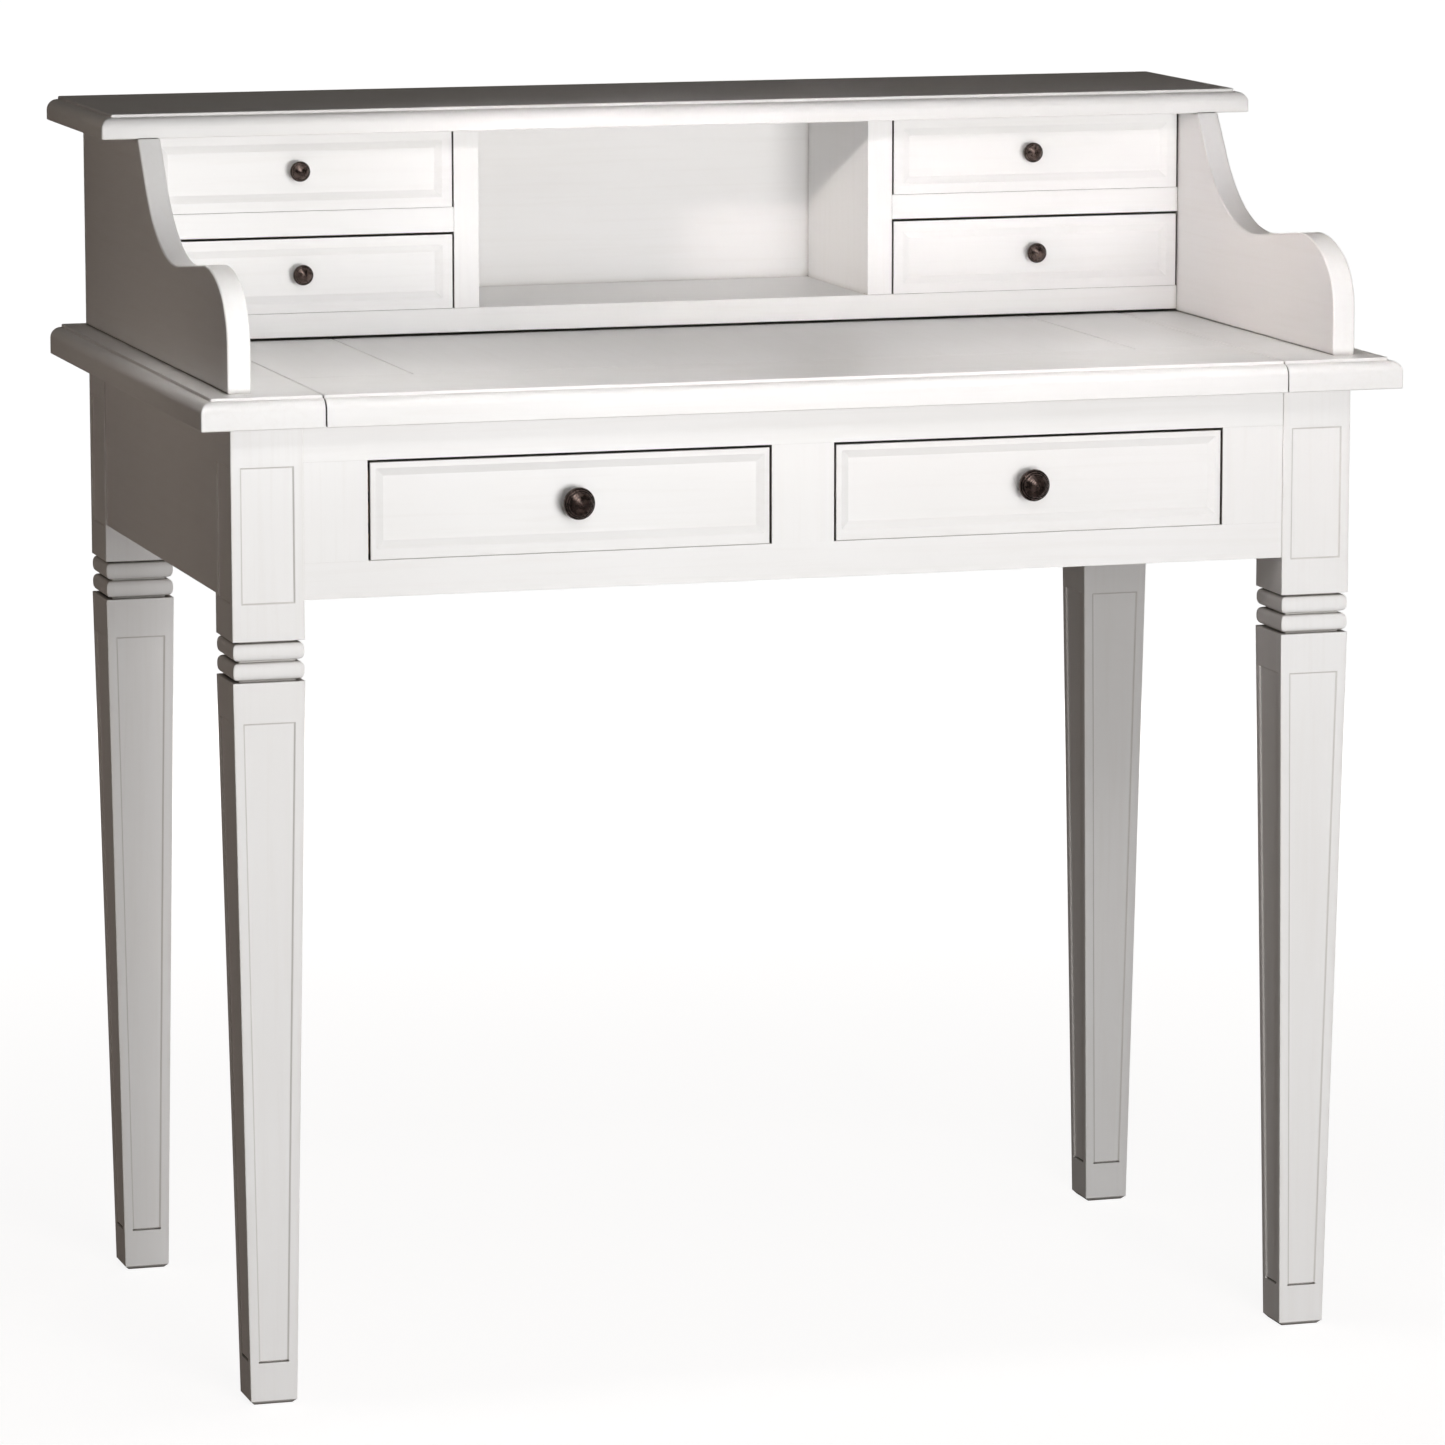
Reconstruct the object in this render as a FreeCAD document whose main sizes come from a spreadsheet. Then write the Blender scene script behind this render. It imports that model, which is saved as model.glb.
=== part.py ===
import FreeCAD, Part
import math
import os
import Sketcher

# Bonheur du jour: a painted ladies' writing desk. Four tapered legs and a framed apron with two drawers
# carry a boarded top, and on it stands a low gallery with four small drawers round an open niche.
# Frame: +X to the sitter's right, -Y to the sitter, +Z up; the origin is under the middle, on the floor.

doc = FreeCAD.newDocument("bonheur_du_jour")
dims = doc.addObject("Spreadsheet::Sheet", "Dims")

DIMENSIONS = (
    # moulded boards: the desk top and the cornice over the gallery
    ("top_width", 960), ("top_depth", 557), ("desk_under", 758), ("desk_thick", 24),
    ("cornice_under", 948.8), ("cornice_thick", 19), ("cornice_depth", 216.5),
    ("ovolo", 8.5), ("quirk", 1), ("fillet_rise", 2.5),
    ("end_board", 96), ("field_left", 285.5), ("field_right", 303), ("field_front", 157), ("seam_gap", 0.8),
    # legs: a square block, two square beads, then a tapered shaft with sunk panels
    ("leg_section", 56), ("leg_spread", 450), ("leg_front", 243.5), ("leg_back", 268.5),
    ("foot_section", 36.5), ("foot_chamfer", 3), ("low_groove", 561.4), ("bead_pitch", 15),
    ("bead_radius", 8), ("groove_depth", 6), ("shoulder", 4),
    ("panel_margin", 9), ("panel_slope", 3), ("panel_sink", 1.5),
    ("shaft_panel_low", 33), ("shaft_panel_high", 532), ("stop_cut", 1.4), ("stop_sink", 3.5),
    ("block_panel_low", 621.5), ("block_panel_high", 727.5),
    # apron frame, tenoned into the legs
    ("apron_low", 623.5), ("apron_thick", 20), ("apron_recess", 1.5),
    ("opening_low", 651.5), ("opening_high", 728), ("stile_half", 25), ("opening_wide", 319),
    ("tenon_reach", 19.5), ("tenon_thick", 8), ("tenon_shoulder", 6), ("mortise_deep", 20),
    ("stub_reach", 12), ("stub_shoulder", 10), ("housing", 5), ("housing_stop", 10),
    # drawer runners below and kickers above, between the front frame and the back apron
    ("runner_thick", 16), ("runner_ledge", 15), ("guide_wide", 14), ("guide_rise", 22),
    ("kicker_wide", 26), ("kicker_drop", 31),
    # gallery
    ("gallery_front", 102.4), ("side_spread", 452), ("side_thick", 18.3), ("side_back", 269),
    ("back_thick", 5), ("back_lap", 7), ("floor_gap", 2), ("floor_top", 803.5),
    ("divider_inner", 164.2), ("divider_thick", 20.8), ("shelf_low", 865), ("shelf_high", 885),
    # sweep of the gallery's side panels, from the front up to the cornice
    ("sweep_front", 245.4), ("sweep_spring", 816), ("nose_radius", 49.5), ("crown_radius", 92.5),
    ("crown_height", 871.5), ("fall_angle", 5.8), ("cove_radius", 128), ("brow_angle", 55), ("sweep_top", 59),
    # drawers: gap round each front, the sunk field of the front, and the pull
    ("gap_side", 1.5), ("gap_above", 2), ("gap_below", 0.2), ("rim", 8), ("bevel", 6), ("field_sink", 2.5),
    ("big_front", 20), ("big_side", 12), ("big_height", 72), ("big_depth", 430),
    ("big_bottom", 5), ("big_lift", 8), ("big_knob", 12.5), ("big_reach", 21),
    ("small_front", 15), ("small_side", 8), ("small_height", 55), ("small_depth", 150),
    ("small_bottom", 3), ("small_lift", 6), ("small_knob", 8.2), ("small_reach", 15.5),
    # each knob is fitted by eye, a little off the middle of its drawer
    ("left_drawer_shift", 2.9), ("right_drawer_shift", -0.3), ("upper_left_drawer_shift", -3.6),
    ("upper_right_drawer_shift", -5), ("lower_left_drawer_shift", -1.9), ("lower_right_drawer_shift", -1.3),
    ("knob_lift", 1.2),
    ("groove_bite", 4.5), ("groove_slack", 0.2), ("back_inset", 12), ("back_housing", 3),
    ("big_tails", 3), ("big_lap", 6), ("small_tails", 2), ("small_lap", 5),
    ("tail_share", 0.68), ("tail_slope", 6),
    # the knob's section, as shares of its radius and of how far it stands out
    ("knob_waist", 0.52), ("knob_crown", 0.84), ("knob_tip", 0.44), ("neck_rise", 0.5), ("edge_rise", 0.78),
)
for row, (alias, number) in enumerate(DIMENSIONS, start=1):
    dims.set(f"A{row}", alias)
    dims.set(f"B{row}", str(number))
    dims.setAlias(f"B{row}", alias)
doc.recompute()

SUB_PARTS = []
TOUCH = 1e-6  # distances below this count as none


def value(expression):
    """The number that an expression over the sheet comes to."""
    return float(dims.evalExpression(expression))


def sub_part(thing, label):
    """Gives a finished object the name of its node and lists it for export."""
    thing.Label = label
    SUB_PARTS.append(thing)
    return thing


def bind(thing, prop, expression):
    thing.setExpression(prop, expression)


def put(thing, x="0", y="0", z="0"):
    """Binds an object's place to three expressions."""
    for axis, expression in zip("xyz", (x, y, z)):
        bind(thing, f".Placement.Base.{axis}", expression)


def plank(x, y, z, name="Plank"):
    """A plain board between two faces on each axis, each a pair of expressions."""
    box = doc.addObject("Part::Box", name)
    for size, (low, high) in zip(("Length", "Width", "Height"), (x, y, z)):
        bind(box, size, f"({high}) - ({low})")
    put(box, x[0], y[0], z[0])
    return box


def mirrored_pair(side, inner, outer):
    """The low and high expressions of a span of x on one side of the middle, -1 left or 1 right."""
    if side > 0:
        return inner, outer
    return f"-({outer})", f"-({inner})"


def fused(*solids):
    union = doc.addObject("Part::MultiFuse", "Union")
    union.Shapes = list(solids)
    union.Refine = True
    return union


def cut(blank, *tools):
    """The blank with the tools taken out of it."""
    result = doc.addObject("Part::Cut", "Cut")
    result.Base = blank
    result.Tool = tools[0] if len(tools) == 1 else fused(*tools)
    return result


def group(*solids):
    """Like pieces kept as separate solids of one node."""
    compound = doc.addObject("Part::Compound", "Group")
    compound.Links = list(solids)
    return compound


def new_body(name):
    return doc.addObject("PartDesign::Body", name)


def origin_feature(body, role):
    return next(item for item in body.Origin.OriginFeatures if item.Role == role)


def sketch_on(body, plane, name="Sketch", offset="0", tilt=None):
    """A sketch on an origin plane, moved along its normal and tilted about its own x axis."""
    sketch = body.newObject("Sketcher::SketchObject", name)
    sketch.AttachmentSupport = [(origin_feature(body, plane), "")]
    sketch.MapMode = "FlatFace"
    if tilt:
        turn = FreeCAD.Rotation(FreeCAD.Vector(1, 0, 0), value(tilt))
        sketch.AttachmentOffset = FreeCAD.Placement(FreeCAD.Vector(0, 0, 0), turn)
    bind(sketch, ".AttachmentOffset.Base.z", offset)
    return sketch


def fix_point(sketch, geometry, end, x, y):
    """Ties one point of the sketch to two expressions."""
    for kind, expression, axis in (("DistanceX", x, -2), ("DistanceY", y, -1)):
        number = value(expression)
        if abs(number) < TOUCH:
            sketch.addConstraint(Sketcher.Constraint("PointOnObject", geometry, end, axis))
            continue
        index = sketch.addConstraint(Sketcher.Constraint(kind, geometry, end, number))
        bind(sketch, f"Constraints[{index}]", expression)


def arc_between(start, end, radius, bulge):
    """An arc under a half turn that bulges to the right (1) or the left (-1) of its run."""
    chord = end - start
    normal = FreeCAD.Vector(chord.y, -chord.x, 0).normalize() * bulge
    centre = (start + end) * 0.5 - normal * math.sqrt(radius ** 2 - (chord.Length / 2) ** 2)
    angles = [math.atan2(point.y - centre.y, point.x - centre.x) for point in (start, end)]
    circle = Part.Circle(centre, FreeCAD.Vector(0, 0, 1), radius)
    if bulge < 0:
        angles.reverse()
    return Part.ArcOfCircle(circle, *angles)


def outline(sketch, corners, arcs=None):
    """A closed outline through corners given as pairs of expressions.

    arcs maps the number of a corner to (radius expression, bulge) where the run that starts there is an arc.
    """
    arcs = arcs or {}
    points = [FreeCAD.Vector(value(x), value(y), 0) for x, y in corners]
    runs = []
    for number, start in enumerate(points):
        end = points[(number + 1) % len(points)]
        if number in arcs:
            radius, bulge = arcs[number]
            shape = arc_between(start, end, value(radius), bulge)
            ends = (1, 2) if bulge > 0 else (2, 1)
        else:
            shape = Part.LineSegment(start, end)
            ends = (1, 2)
        runs.append((sketch.addGeometry(shape), ends))
    for number, (geometry, ends) in enumerate(runs):
        following, next_ends = runs[(number + 1) % len(runs)]
        sketch.addConstraint(Sketcher.Constraint("Coincident", geometry, ends[1], following, next_ends[0]))
        fix_point(sketch, geometry, ends[0], *corners[number])
        if number in arcs:
            index = sketch.addConstraint(Sketcher.Constraint("Radius", geometry, value(arcs[number][0])))
            bind(sketch, f"Constraints[{index}]", arcs[number][0])


def rectangle(sketch, x, y):
    outline(sketch, ((x[0], y[0]), (x[1], y[0]), (x[1], y[1]), (x[0], y[1])))


def feature(body, kind, profile, length=None, midplane=False, reverse=False, through=False):
    """A pad or pocket of a sketch."""
    result = body.newObject(f"PartDesign::{kind}", kind)
    result.Profile = profile
    result.Reversed = reverse
    if midplane:
        result.SideType = "Symmetric"
    if through:
        result.Type = "ThroughAll"
    else:
        bind(result, "Length", length)
    return result


def sunk_loft(body, mouth, floor):
    """A shallow recess with sloping sides, lofted from its mouth to its floor."""
    result = body.newObject("PartDesign::SubtractiveLoft", "Recess")
    result.Profile = mouth
    result.Sections = [floor]
    result.Ruled = True
    return result


def edge_middles(shape):
    """The name and the middle point of each edge of a shape."""
    return [(f"Edge{number}", edge.CenterOfMass) for number, edge in enumerate(shape.Edges, start=1)]


# ---------------------------------------------------------------- legs
LEG_HALF = "Dims.leg_section / 2"
SHOULDER_Z = "Dims.low_groove - Dims.shoulder"
TAPER = "(Dims.leg_section - Dims.foot_section) / 2"
LEG_TILT = f"atan({TAPER} / ({SHOULDER_Z}))"


def leg_profile():
    """One side of the leg from the floor to the underside of the top: (distance from axis, height) pairs."""
    groove = "Dims.leg_section / 2 - Dims.groove_depth"
    corners = [("Dims.foot_section / 2 - Dims.foot_chamfer", "0"),
               (f"Dims.foot_section / 2 + {TAPER} * Dims.foot_chamfer / ({SHOULDER_Z})", "Dims.foot_chamfer"),
               (LEG_HALF, SHOULDER_Z)]
    corners += [(groove, f"Dims.low_groove + {beads} * Dims.bead_pitch") for beads in range(3)]
    corners.append((LEG_HALF, "Dims.low_groove + 2 * Dims.bead_pitch + Dims.shoulder"))
    return corners


def sunk_panel(body, foot, head, low, high, offset, tilt=None):
    """A sunk panel on the front face; foot and head are its half-widths at the mouth."""
    sketches = []
    for inset, sink in (("0", "0"), ("Dims.panel_slope", "Dims.panel_sink")):
        sketch = sketch_on(body, "XZ_Plane", "Panel", f"{offset} - {sink}", tilt)
        at_foot, at_head = f"({foot} - {inset})", f"({head} - {inset})"
        bottom, top = f"{low} + {inset}", f"{high} - {inset}"
        outline(sketch, ((f"-{at_foot}", bottom), (at_foot, bottom), (at_head, top), (f"-{at_head}", top)))
        sketches.append(sketch)
    return sunk_loft(body, *sketches)


def turned_copies(body, originals, count, angle, reverse=False):
    """The features repeated about the leg's axis."""
    pattern = body.newObject("PartDesign::PolarPattern", "Turned")
    pattern.Originals = originals
    pattern.Axis = (origin_feature(body, "Z_Axis"), [""])
    pattern.Angle = angle
    pattern.Occurrences = count
    pattern.Reversed = reverse
    body.Tip = pattern
    return pattern


def mortises(body, plane, spans):
    """Mortises in the leg's inner face on one plane, each for a tenon between two heights."""
    sketch = sketch_on(body, plane, "Mortises", LEG_HALF if plane == "YZ_Plane" else f"-{LEG_HALF}")
    centre = f"-({LEG_HALF} - Dims.apron_recess - Dims.apron_thick / 2)"
    for low, high in spans:
        rectangle(sketch, (f"{centre} - Dims.tenon_thick / 2", f"{centre} + Dims.tenon_thick / 2"),
                  (f"{low} + Dims.tenon_shoulder", f"{high} - Dims.tenon_shoulder"))
    feature(body, "Pocket", sketch, "Dims.mortise_deep", reverse=plane == "XZ_Plane")


def leg(label, x, y, quarter_turns, x_spans, y_spans):
    """A leg whose panelled faces are its local -X and -Y ones, turned to its corner of the desk."""
    body = new_body(label)
    side = leg_profile()
    beads = {3: ("Dims.bead_radius", 1), 4: ("Dims.bead_radius", 1)}
    right = side + [(LEG_HALF, "Dims.desk_under")]
    front = right + [(f"-({r})", h) for r, h in reversed(right)]
    arcs = dict(beads)
    arcs.update({len(front) - 2 - number: radius for number, radius in beads.items()})
    blank = sketch_on(body, "XZ_Plane", "Front_outline")
    outline(blank, front, arcs)
    feature(body, "Pad", blank, "Dims.leg_section", midplane=True)
    waste = sketch_on(body, "YZ_Plane", "Side_waste")
    beyond = "Dims.leg_section"
    outline(waste, side + [(beyond, side[-1][1]), (beyond, "-1"), (side[0][0], "-1")], beads)
    left = [(f"-({r})", h) for r, h in side] + [(f"-{beyond}", side[-1][1]), (f"-{beyond}", "-1"),
                                                 (f"-({side[0][0]})", "-1")]
    outline(waste, left, {number: (radius, -bulge) for number, (radius, bulge) in beads.items()})
    feature(body, "Pocket", waste, midplane=True, through=True)

    half_at = f"Dims.foot_section / 2 + {TAPER} / ({SHOULDER_Z})"
    foot = f"{half_at} * Dims.shaft_panel_low - Dims.panel_margin"
    head = f"{half_at} * Dims.shaft_panel_high - Dims.panel_margin"
    panel = sunk_panel(body, foot, head, "Dims.shaft_panel_low", "Dims.shaft_panel_high",
                       "Dims.foot_section / 2", LEG_TILT)
    stop = sketch_on(body, "XZ_Plane", "Stop", "Dims.foot_section / 2", LEG_TILT)
    rectangle(stop, (f"-({foot})", foot), ("Dims.shaft_panel_low", "Dims.shaft_panel_low + Dims.stop_cut"))
    stop_cut = feature(body, "Pocket", stop, "Dims.stop_sink")
    turned_copies(body, [panel, stop_cut], 4, 360)
    width = f"{LEG_HALF} - Dims.panel_margin"
    block = sunk_panel(body, width, width, "Dims.block_panel_low", "Dims.block_panel_high", LEG_HALF)
    turned_copies(body, [block], 2, 90, reverse=True)
    mortises(body, "YZ_Plane", x_spans)
    mortises(body, "XZ_Plane", y_spans)
    body.Placement.Rotation = FreeCAD.Rotation(FreeCAD.Vector(0, 0, 1), 90 * quarter_turns)
    put(body, x, y)
    return sub_part(body, label)


LEG_X = f"(Dims.leg_spread - {LEG_HALF})"
FRONT_LEG_Y = f"-Dims.leg_front + {LEG_HALF}"
BACK_LEG_Y = f"Dims.leg_back - {LEG_HALF}"
RAIL_SPANS = (("Dims.apron_low", "Dims.opening_low"), ("Dims.opening_high", "Dims.desk_under"))
APRON_SPAN = (("Dims.apron_low", "Dims.desk_under"),)
leg("front_left_leg", f"-{LEG_X}", FRONT_LEG_Y, 0, RAIL_SPANS, APRON_SPAN)
leg("front_right_leg", LEG_X, FRONT_LEG_Y, 1, APRON_SPAN, RAIL_SPANS)
leg("back_right_leg", LEG_X, BACK_LEG_Y, 2, APRON_SPAN, APRON_SPAN)
leg("back_left_leg", f"-{LEG_X}", BACK_LEG_Y, 3, APRON_SPAN, APRON_SPAN)

# ---------------------------------------------------------------- apron frame
INNER_X = "(Dims.leg_spread - Dims.leg_section)"
FRONT_FACE = "(-Dims.leg_front + Dims.apron_recess)"
FRONT_INSIDE = f"({FRONT_FACE} + Dims.apron_thick)"
BACK_INSIDE = "(Dims.leg_back - Dims.apron_recess - Dims.apron_thick)"
OPENING_EDGE = "(Dims.stile_half + Dims.opening_wide)"


def across(thickness, inset):
    """The span of a tenon, centred in the thickness of its rail."""
    low, high = thickness
    middle = f"(({low}) + ({high})) / 2"
    return f"{middle} - {inset}", f"{middle} + {inset}"


def tenoned(label, lengthwise, length, thickness, height, mortised=()):
    """A rail or apron along x or y, with a tenon at each end in the middle of its thickness.

    mortised lists the tenons of other pieces that are let into it.
    """
    tongue_length = (f"({length[0]}) - Dims.tenon_reach", f"({length[1]}) + Dims.tenon_reach")
    tongue_thickness = across(thickness, "Dims.tenon_thick / 2")
    tongue_height = (f"{height[0]} + Dims.tenon_shoulder", f"{height[1]} - Dims.tenon_shoulder")
    if lengthwise == "x":
        union = fused(plank(length, thickness, height), plank(tongue_length, tongue_thickness, tongue_height))
    else:
        union = fused(plank(thickness, length, height), plank(tongue_thickness, tongue_length, tongue_height))
    return sub_part(cut(union, *mortised) if mortised else union, label)


BETWEEN_LEGS = (f"-{INNER_X}", INNER_X)
SIDE_LENGTH = ("-Dims.leg_front + Dims.leg_section", "Dims.leg_back - Dims.leg_section")
FRONT_THICKNESS = (FRONT_FACE, FRONT_INSIDE)
OPENING_HEIGHT = ("Dims.opening_low", "Dims.opening_high")
stubs = []
for name, width in (("left", mirrored_pair(-1, OPENING_EDGE, INNER_X)),
                    ("centre", ("-Dims.stile_half", "Dims.stile_half")),
                    ("right", mirrored_pair(1, OPENING_EDGE, INNER_X))):
    stubs.append(plank((f"{width[0]} + Dims.stub_shoulder", f"{width[1]} - Dims.stub_shoulder"),
                       across(FRONT_THICKNESS, "Dims.tenon_thick / 2"),
                       ("Dims.opening_low - Dims.stub_reach", "Dims.opening_high + Dims.stub_reach"), "Stub"))
    sub_part(fused(plank(width, FRONT_THICKNESS, OPENING_HEIGHT), stubs[-1]), f"front_{name}_stile")
tenoned("front_bottom_rail", "x", BETWEEN_LEGS, FRONT_THICKNESS, RAIL_SPANS[0], stubs)
tenoned("front_top_rail", "x", BETWEEN_LEGS, FRONT_THICKNESS, RAIL_SPANS[1], stubs)
tenoned("back_apron", "x", BETWEEN_LEGS, (BACK_INSIDE, f"{BACK_INSIDE} + Dims.apron_thick"), APRON_SPAN[0])
for side, name in ((-1, "left"), (1, "right")):
    outside = "Dims.leg_spread - Dims.apron_recess"
    thickness = mirrored_pair(side, f"{outside} - Dims.apron_thick", outside)
    tenoned(f"{name}_apron", "y", SIDE_LENGTH, thickness, APRON_SPAN[0])

# ---------------------------------------------------------------- runners and kickers
RUNNER_TOP = "Dims.opening_low"


def runner(label, corners):
    """A runner from the front frame to the back apron: its section, swept straight back."""
    body = new_body(label)
    sketch = sketch_on(body, "XZ_Plane", "Section")
    outline(sketch, corners)
    feature(body, "Pad", sketch, f"{BACK_INSIDE} - {FRONT_INSIDE}", reverse=True)
    put(body, "0", FRONT_INSIDE, "0")
    return sub_part(body, label)


def runner_half(side, guide_outside):
    """One side of a runner section, from its guide's outside to the ledge that carries a drawer's side."""
    ledge_end = f"{guide_outside[1]} + {side} * Dims.runner_ledge"
    under = f"{RUNNER_TOP} - Dims.runner_thick"
    guide_top = f"{RUNNER_TOP} + Dims.guide_rise"
    return [(guide_outside[0], under), (ledge_end, under), (ledge_end, RUNNER_TOP),
            (guide_outside[1], RUNNER_TOP), (guide_outside[1], guide_top), (guide_outside[0], guide_top)]


runner("left_runner", runner_half(1, (f"-{OPENING_EDGE} - Dims.guide_wide", f"-{OPENING_EDGE}")))
runner("right_runner", runner_half(-1, (f"{OPENING_EDGE} + Dims.guide_wide", OPENING_EDGE))[::-1])
centre_half = runner_half(1, ("0", "Dims.stile_half"))[1:5]
runner("centre_runner", centre_half + [(f"-({x})", z) for x, z in reversed(centre_half)])

kickers = []
for centre in (f"-{OPENING_EDGE}", "0", OPENING_EDGE):
    width = (f"{centre} - Dims.kicker_wide / 2", f"{centre} + Dims.kicker_wide / 2")
    height = ("Dims.desk_under - Dims.kicker_drop", "Dims.desk_under")
    kickers.append(plank(width, (FRONT_INSIDE, BACK_INSIDE), height))
left_kicker, centre_kicker, right_kicker = kickers
sub_part(group(left_kicker, right_kicker), "side_kickers")
sub_part(centre_kicker, "centre_kicker")


# ---------------------------------------------------------------- moulded boards
def moulded_board(x, y, thick, moulded):
    """A board with an ovolo and a small fillet on the named edges: left, right or front.

    The lower part is full size and its top edge is rounded. A thin fillet stands on it, set back all along.
    """
    body = new_body("Board")
    step = "(Dims.ovolo + Dims.quirk)"
    shoulder = f"({thick} - Dims.fillet_rise)"
    lower = sketch_on(body, "XY_Plane", "Lower")
    rectangle(lower, x, y)
    slab = feature(body, "Pad", lower, shoulder)
    doc.recompute()
    box = slab.Shape.BoundBox
    on_side = {"left": lambda point: abs(point.x - box.XMin) < TOUCH,
               "right": lambda point: abs(point.x - box.XMax) < TOUCH,
               "front": lambda point: abs(point.y - box.YMin) < TOUCH}
    names = [name for name, point in edge_middles(slab.Shape)
             if abs(point.z - box.ZMax) < TOUCH and any(on_side[side](point) for side in moulded)]
    ovolo = body.newObject("PartDesign::Fillet", "Ovolo")
    ovolo.Base = (slab, names)
    bind(ovolo, "Radius", "Dims.ovolo")
    upper = sketch_on(body, "XY_Plane", "Upper", shoulder)
    rectangle(upper, (f"{x[0]} + {step}" if "left" in moulded else x[0],
                      f"{x[1]} - {step}" if "right" in moulded else x[1]),
              (f"{y[0]} + {step}" if "front" in moulded else y[0], y[1]))
    feature(body, "Pad", upper, "Dims.fillet_rise")
    return body


HALF_TOP = "Dims.top_width / 2"
TOP_DEPTH = ("-Dims.top_depth / 2", "Dims.top_depth / 2")
SEAM = f"({HALF_TOP} - Dims.end_board + Dims.seam_gap / 2)"
FIELD_SIDE = f"({SEAM} - Dims.seam_gap)"
top_boards = {
    "left_end": moulded_board((f"-{HALF_TOP}", f"-{SEAM}"), TOP_DEPTH, "Dims.desk_thick", ("left", "front")),
    "right_end": moulded_board((SEAM, HALF_TOP), TOP_DEPTH, "Dims.desk_thick", ("right", "front")),
    "front_board": moulded_board((f"-{FIELD_SIDE}", FIELD_SIDE), (TOP_DEPTH[0], "-Dims.field_front"),
                                 "Dims.desk_thick", ("front",)),
}
for name, board in top_boards.items():
    put(board, "0", "0", "Dims.desk_under")
sub_part(top_boards["left_end"], "top_left_end")
sub_part(top_boards["right_end"], "top_right_end")
sub_part(top_boards["front_board"], "top_front_board")
FIELD = ("-Dims.field_front + Dims.seam_gap", TOP_DEPTH[1])
TOP_HEIGHT = ("Dims.desk_under", "Dims.desk_under + Dims.desk_thick")
for label, span in (("top_left_board", (f"-{FIELD_SIDE}", "-Dims.field_left - Dims.seam_gap / 2")),
                    ("top_centre_board", ("-Dims.field_left + Dims.seam_gap / 2",
                                          "Dims.field_right - Dims.seam_gap / 2")),
                    ("top_right_board", ("Dims.field_right + Dims.seam_gap / 2", FIELD_SIDE))):
    sub_part(plank(span, FIELD, TOP_HEIGHT), label)

cornice = moulded_board((f"-{HALF_TOP}", HALF_TOP), ("0", "Dims.cornice_depth"), "Dims.cornice_thick",
                        ("left", "right", "front"))
put(cornice, "0", "Dims.top_depth / 2 - Dims.cornice_depth", "Dims.cornice_under")
sub_part(cornice, "cornice_board")


# ---------------------------------------------------------------- gallery
SIDE_INNER = "(Dims.side_spread - Dims.side_thick)"
DIVIDER_OUTER = "(Dims.divider_inner + Dims.divider_thick)"
GALLERY_DEPTH = ("Dims.gallery_front", "Dims.side_back - Dims.back_thick")
HOUSED_DEPTH = ("Dims.gallery_front + Dims.housing_stop", GALLERY_DEPTH[1])
FLOOR_UNDER = "Dims.desk_under + Dims.desk_thick + Dims.floor_gap"


def sweep_points():
    """Corner points of the side panel's swept edge, from the front's spring up to the cornice.

    The straight front turns over a nose and a flatter crown, falls in a straight run, and rises again through
    a cove to a straight brow. Returns the points and the centres of the three arcs.
    """
    fall, brow = math.radians(value("Dims.fall_angle")), math.radians(value("Dims.brow_angle"))
    nose, crown, cove = (value(f"Dims.{name}_radius") for name in ("nose", "crown", "cove"))
    spring = FreeCAD.Vector(-value("Dims.sweep_front"), value("Dims.sweep_spring"), 0)
    nose_centre = spring + FreeCAD.Vector(nose, 0, 0)
    drop = value("Dims.crown_height") - crown - nose_centre.y
    crown_centre = nose_centre + FreeCAD.Vector(math.sqrt((crown - nose) ** 2 - drop ** 2), drop, 0)
    meet = crown_centre + (nose_centre - crown_centre).normalize() * crown
    run_start = crown_centre + FreeCAD.Vector(math.sin(fall), math.cos(fall), 0) * crown
    top = FreeCAD.Vector(value("Dims.sweep_top"), value("Dims.cornice_under"), 0)
    down = FreeCAD.Vector(math.cos(fall), -math.sin(fall), 0)
    up = FreeCAD.Vector(math.cos(brow), math.sin(brow), 0)
    # the fall and the brow meet at a corner, and the cove rounds it off
    reach = ((top - run_start).x * up.y - (top - run_start).y * up.x) / (down.x * up.y - down.y * up.x)
    corner = run_start + down * reach
    set_back = cove * math.tan((fall + brow) / 2)
    run_end, brow_start = corner - down * set_back, corner + up * set_back
    cove_centre = run_end + FreeCAD.Vector(math.sin(fall), math.cos(fall), 0) * cove
    return (spring, meet, run_start, run_end, brow_start, top), (nose_centre, crown_centre, cove_centre)


def arc_about(centre, radius, start, end):
    angles = [math.atan2(point.y - centre.y, point.x - centre.x) for point in (start, end)]
    return Part.ArcOfCircle(Part.Circle(centre, FreeCAD.Vector(0, 0, 1), radius), *angles)


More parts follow.
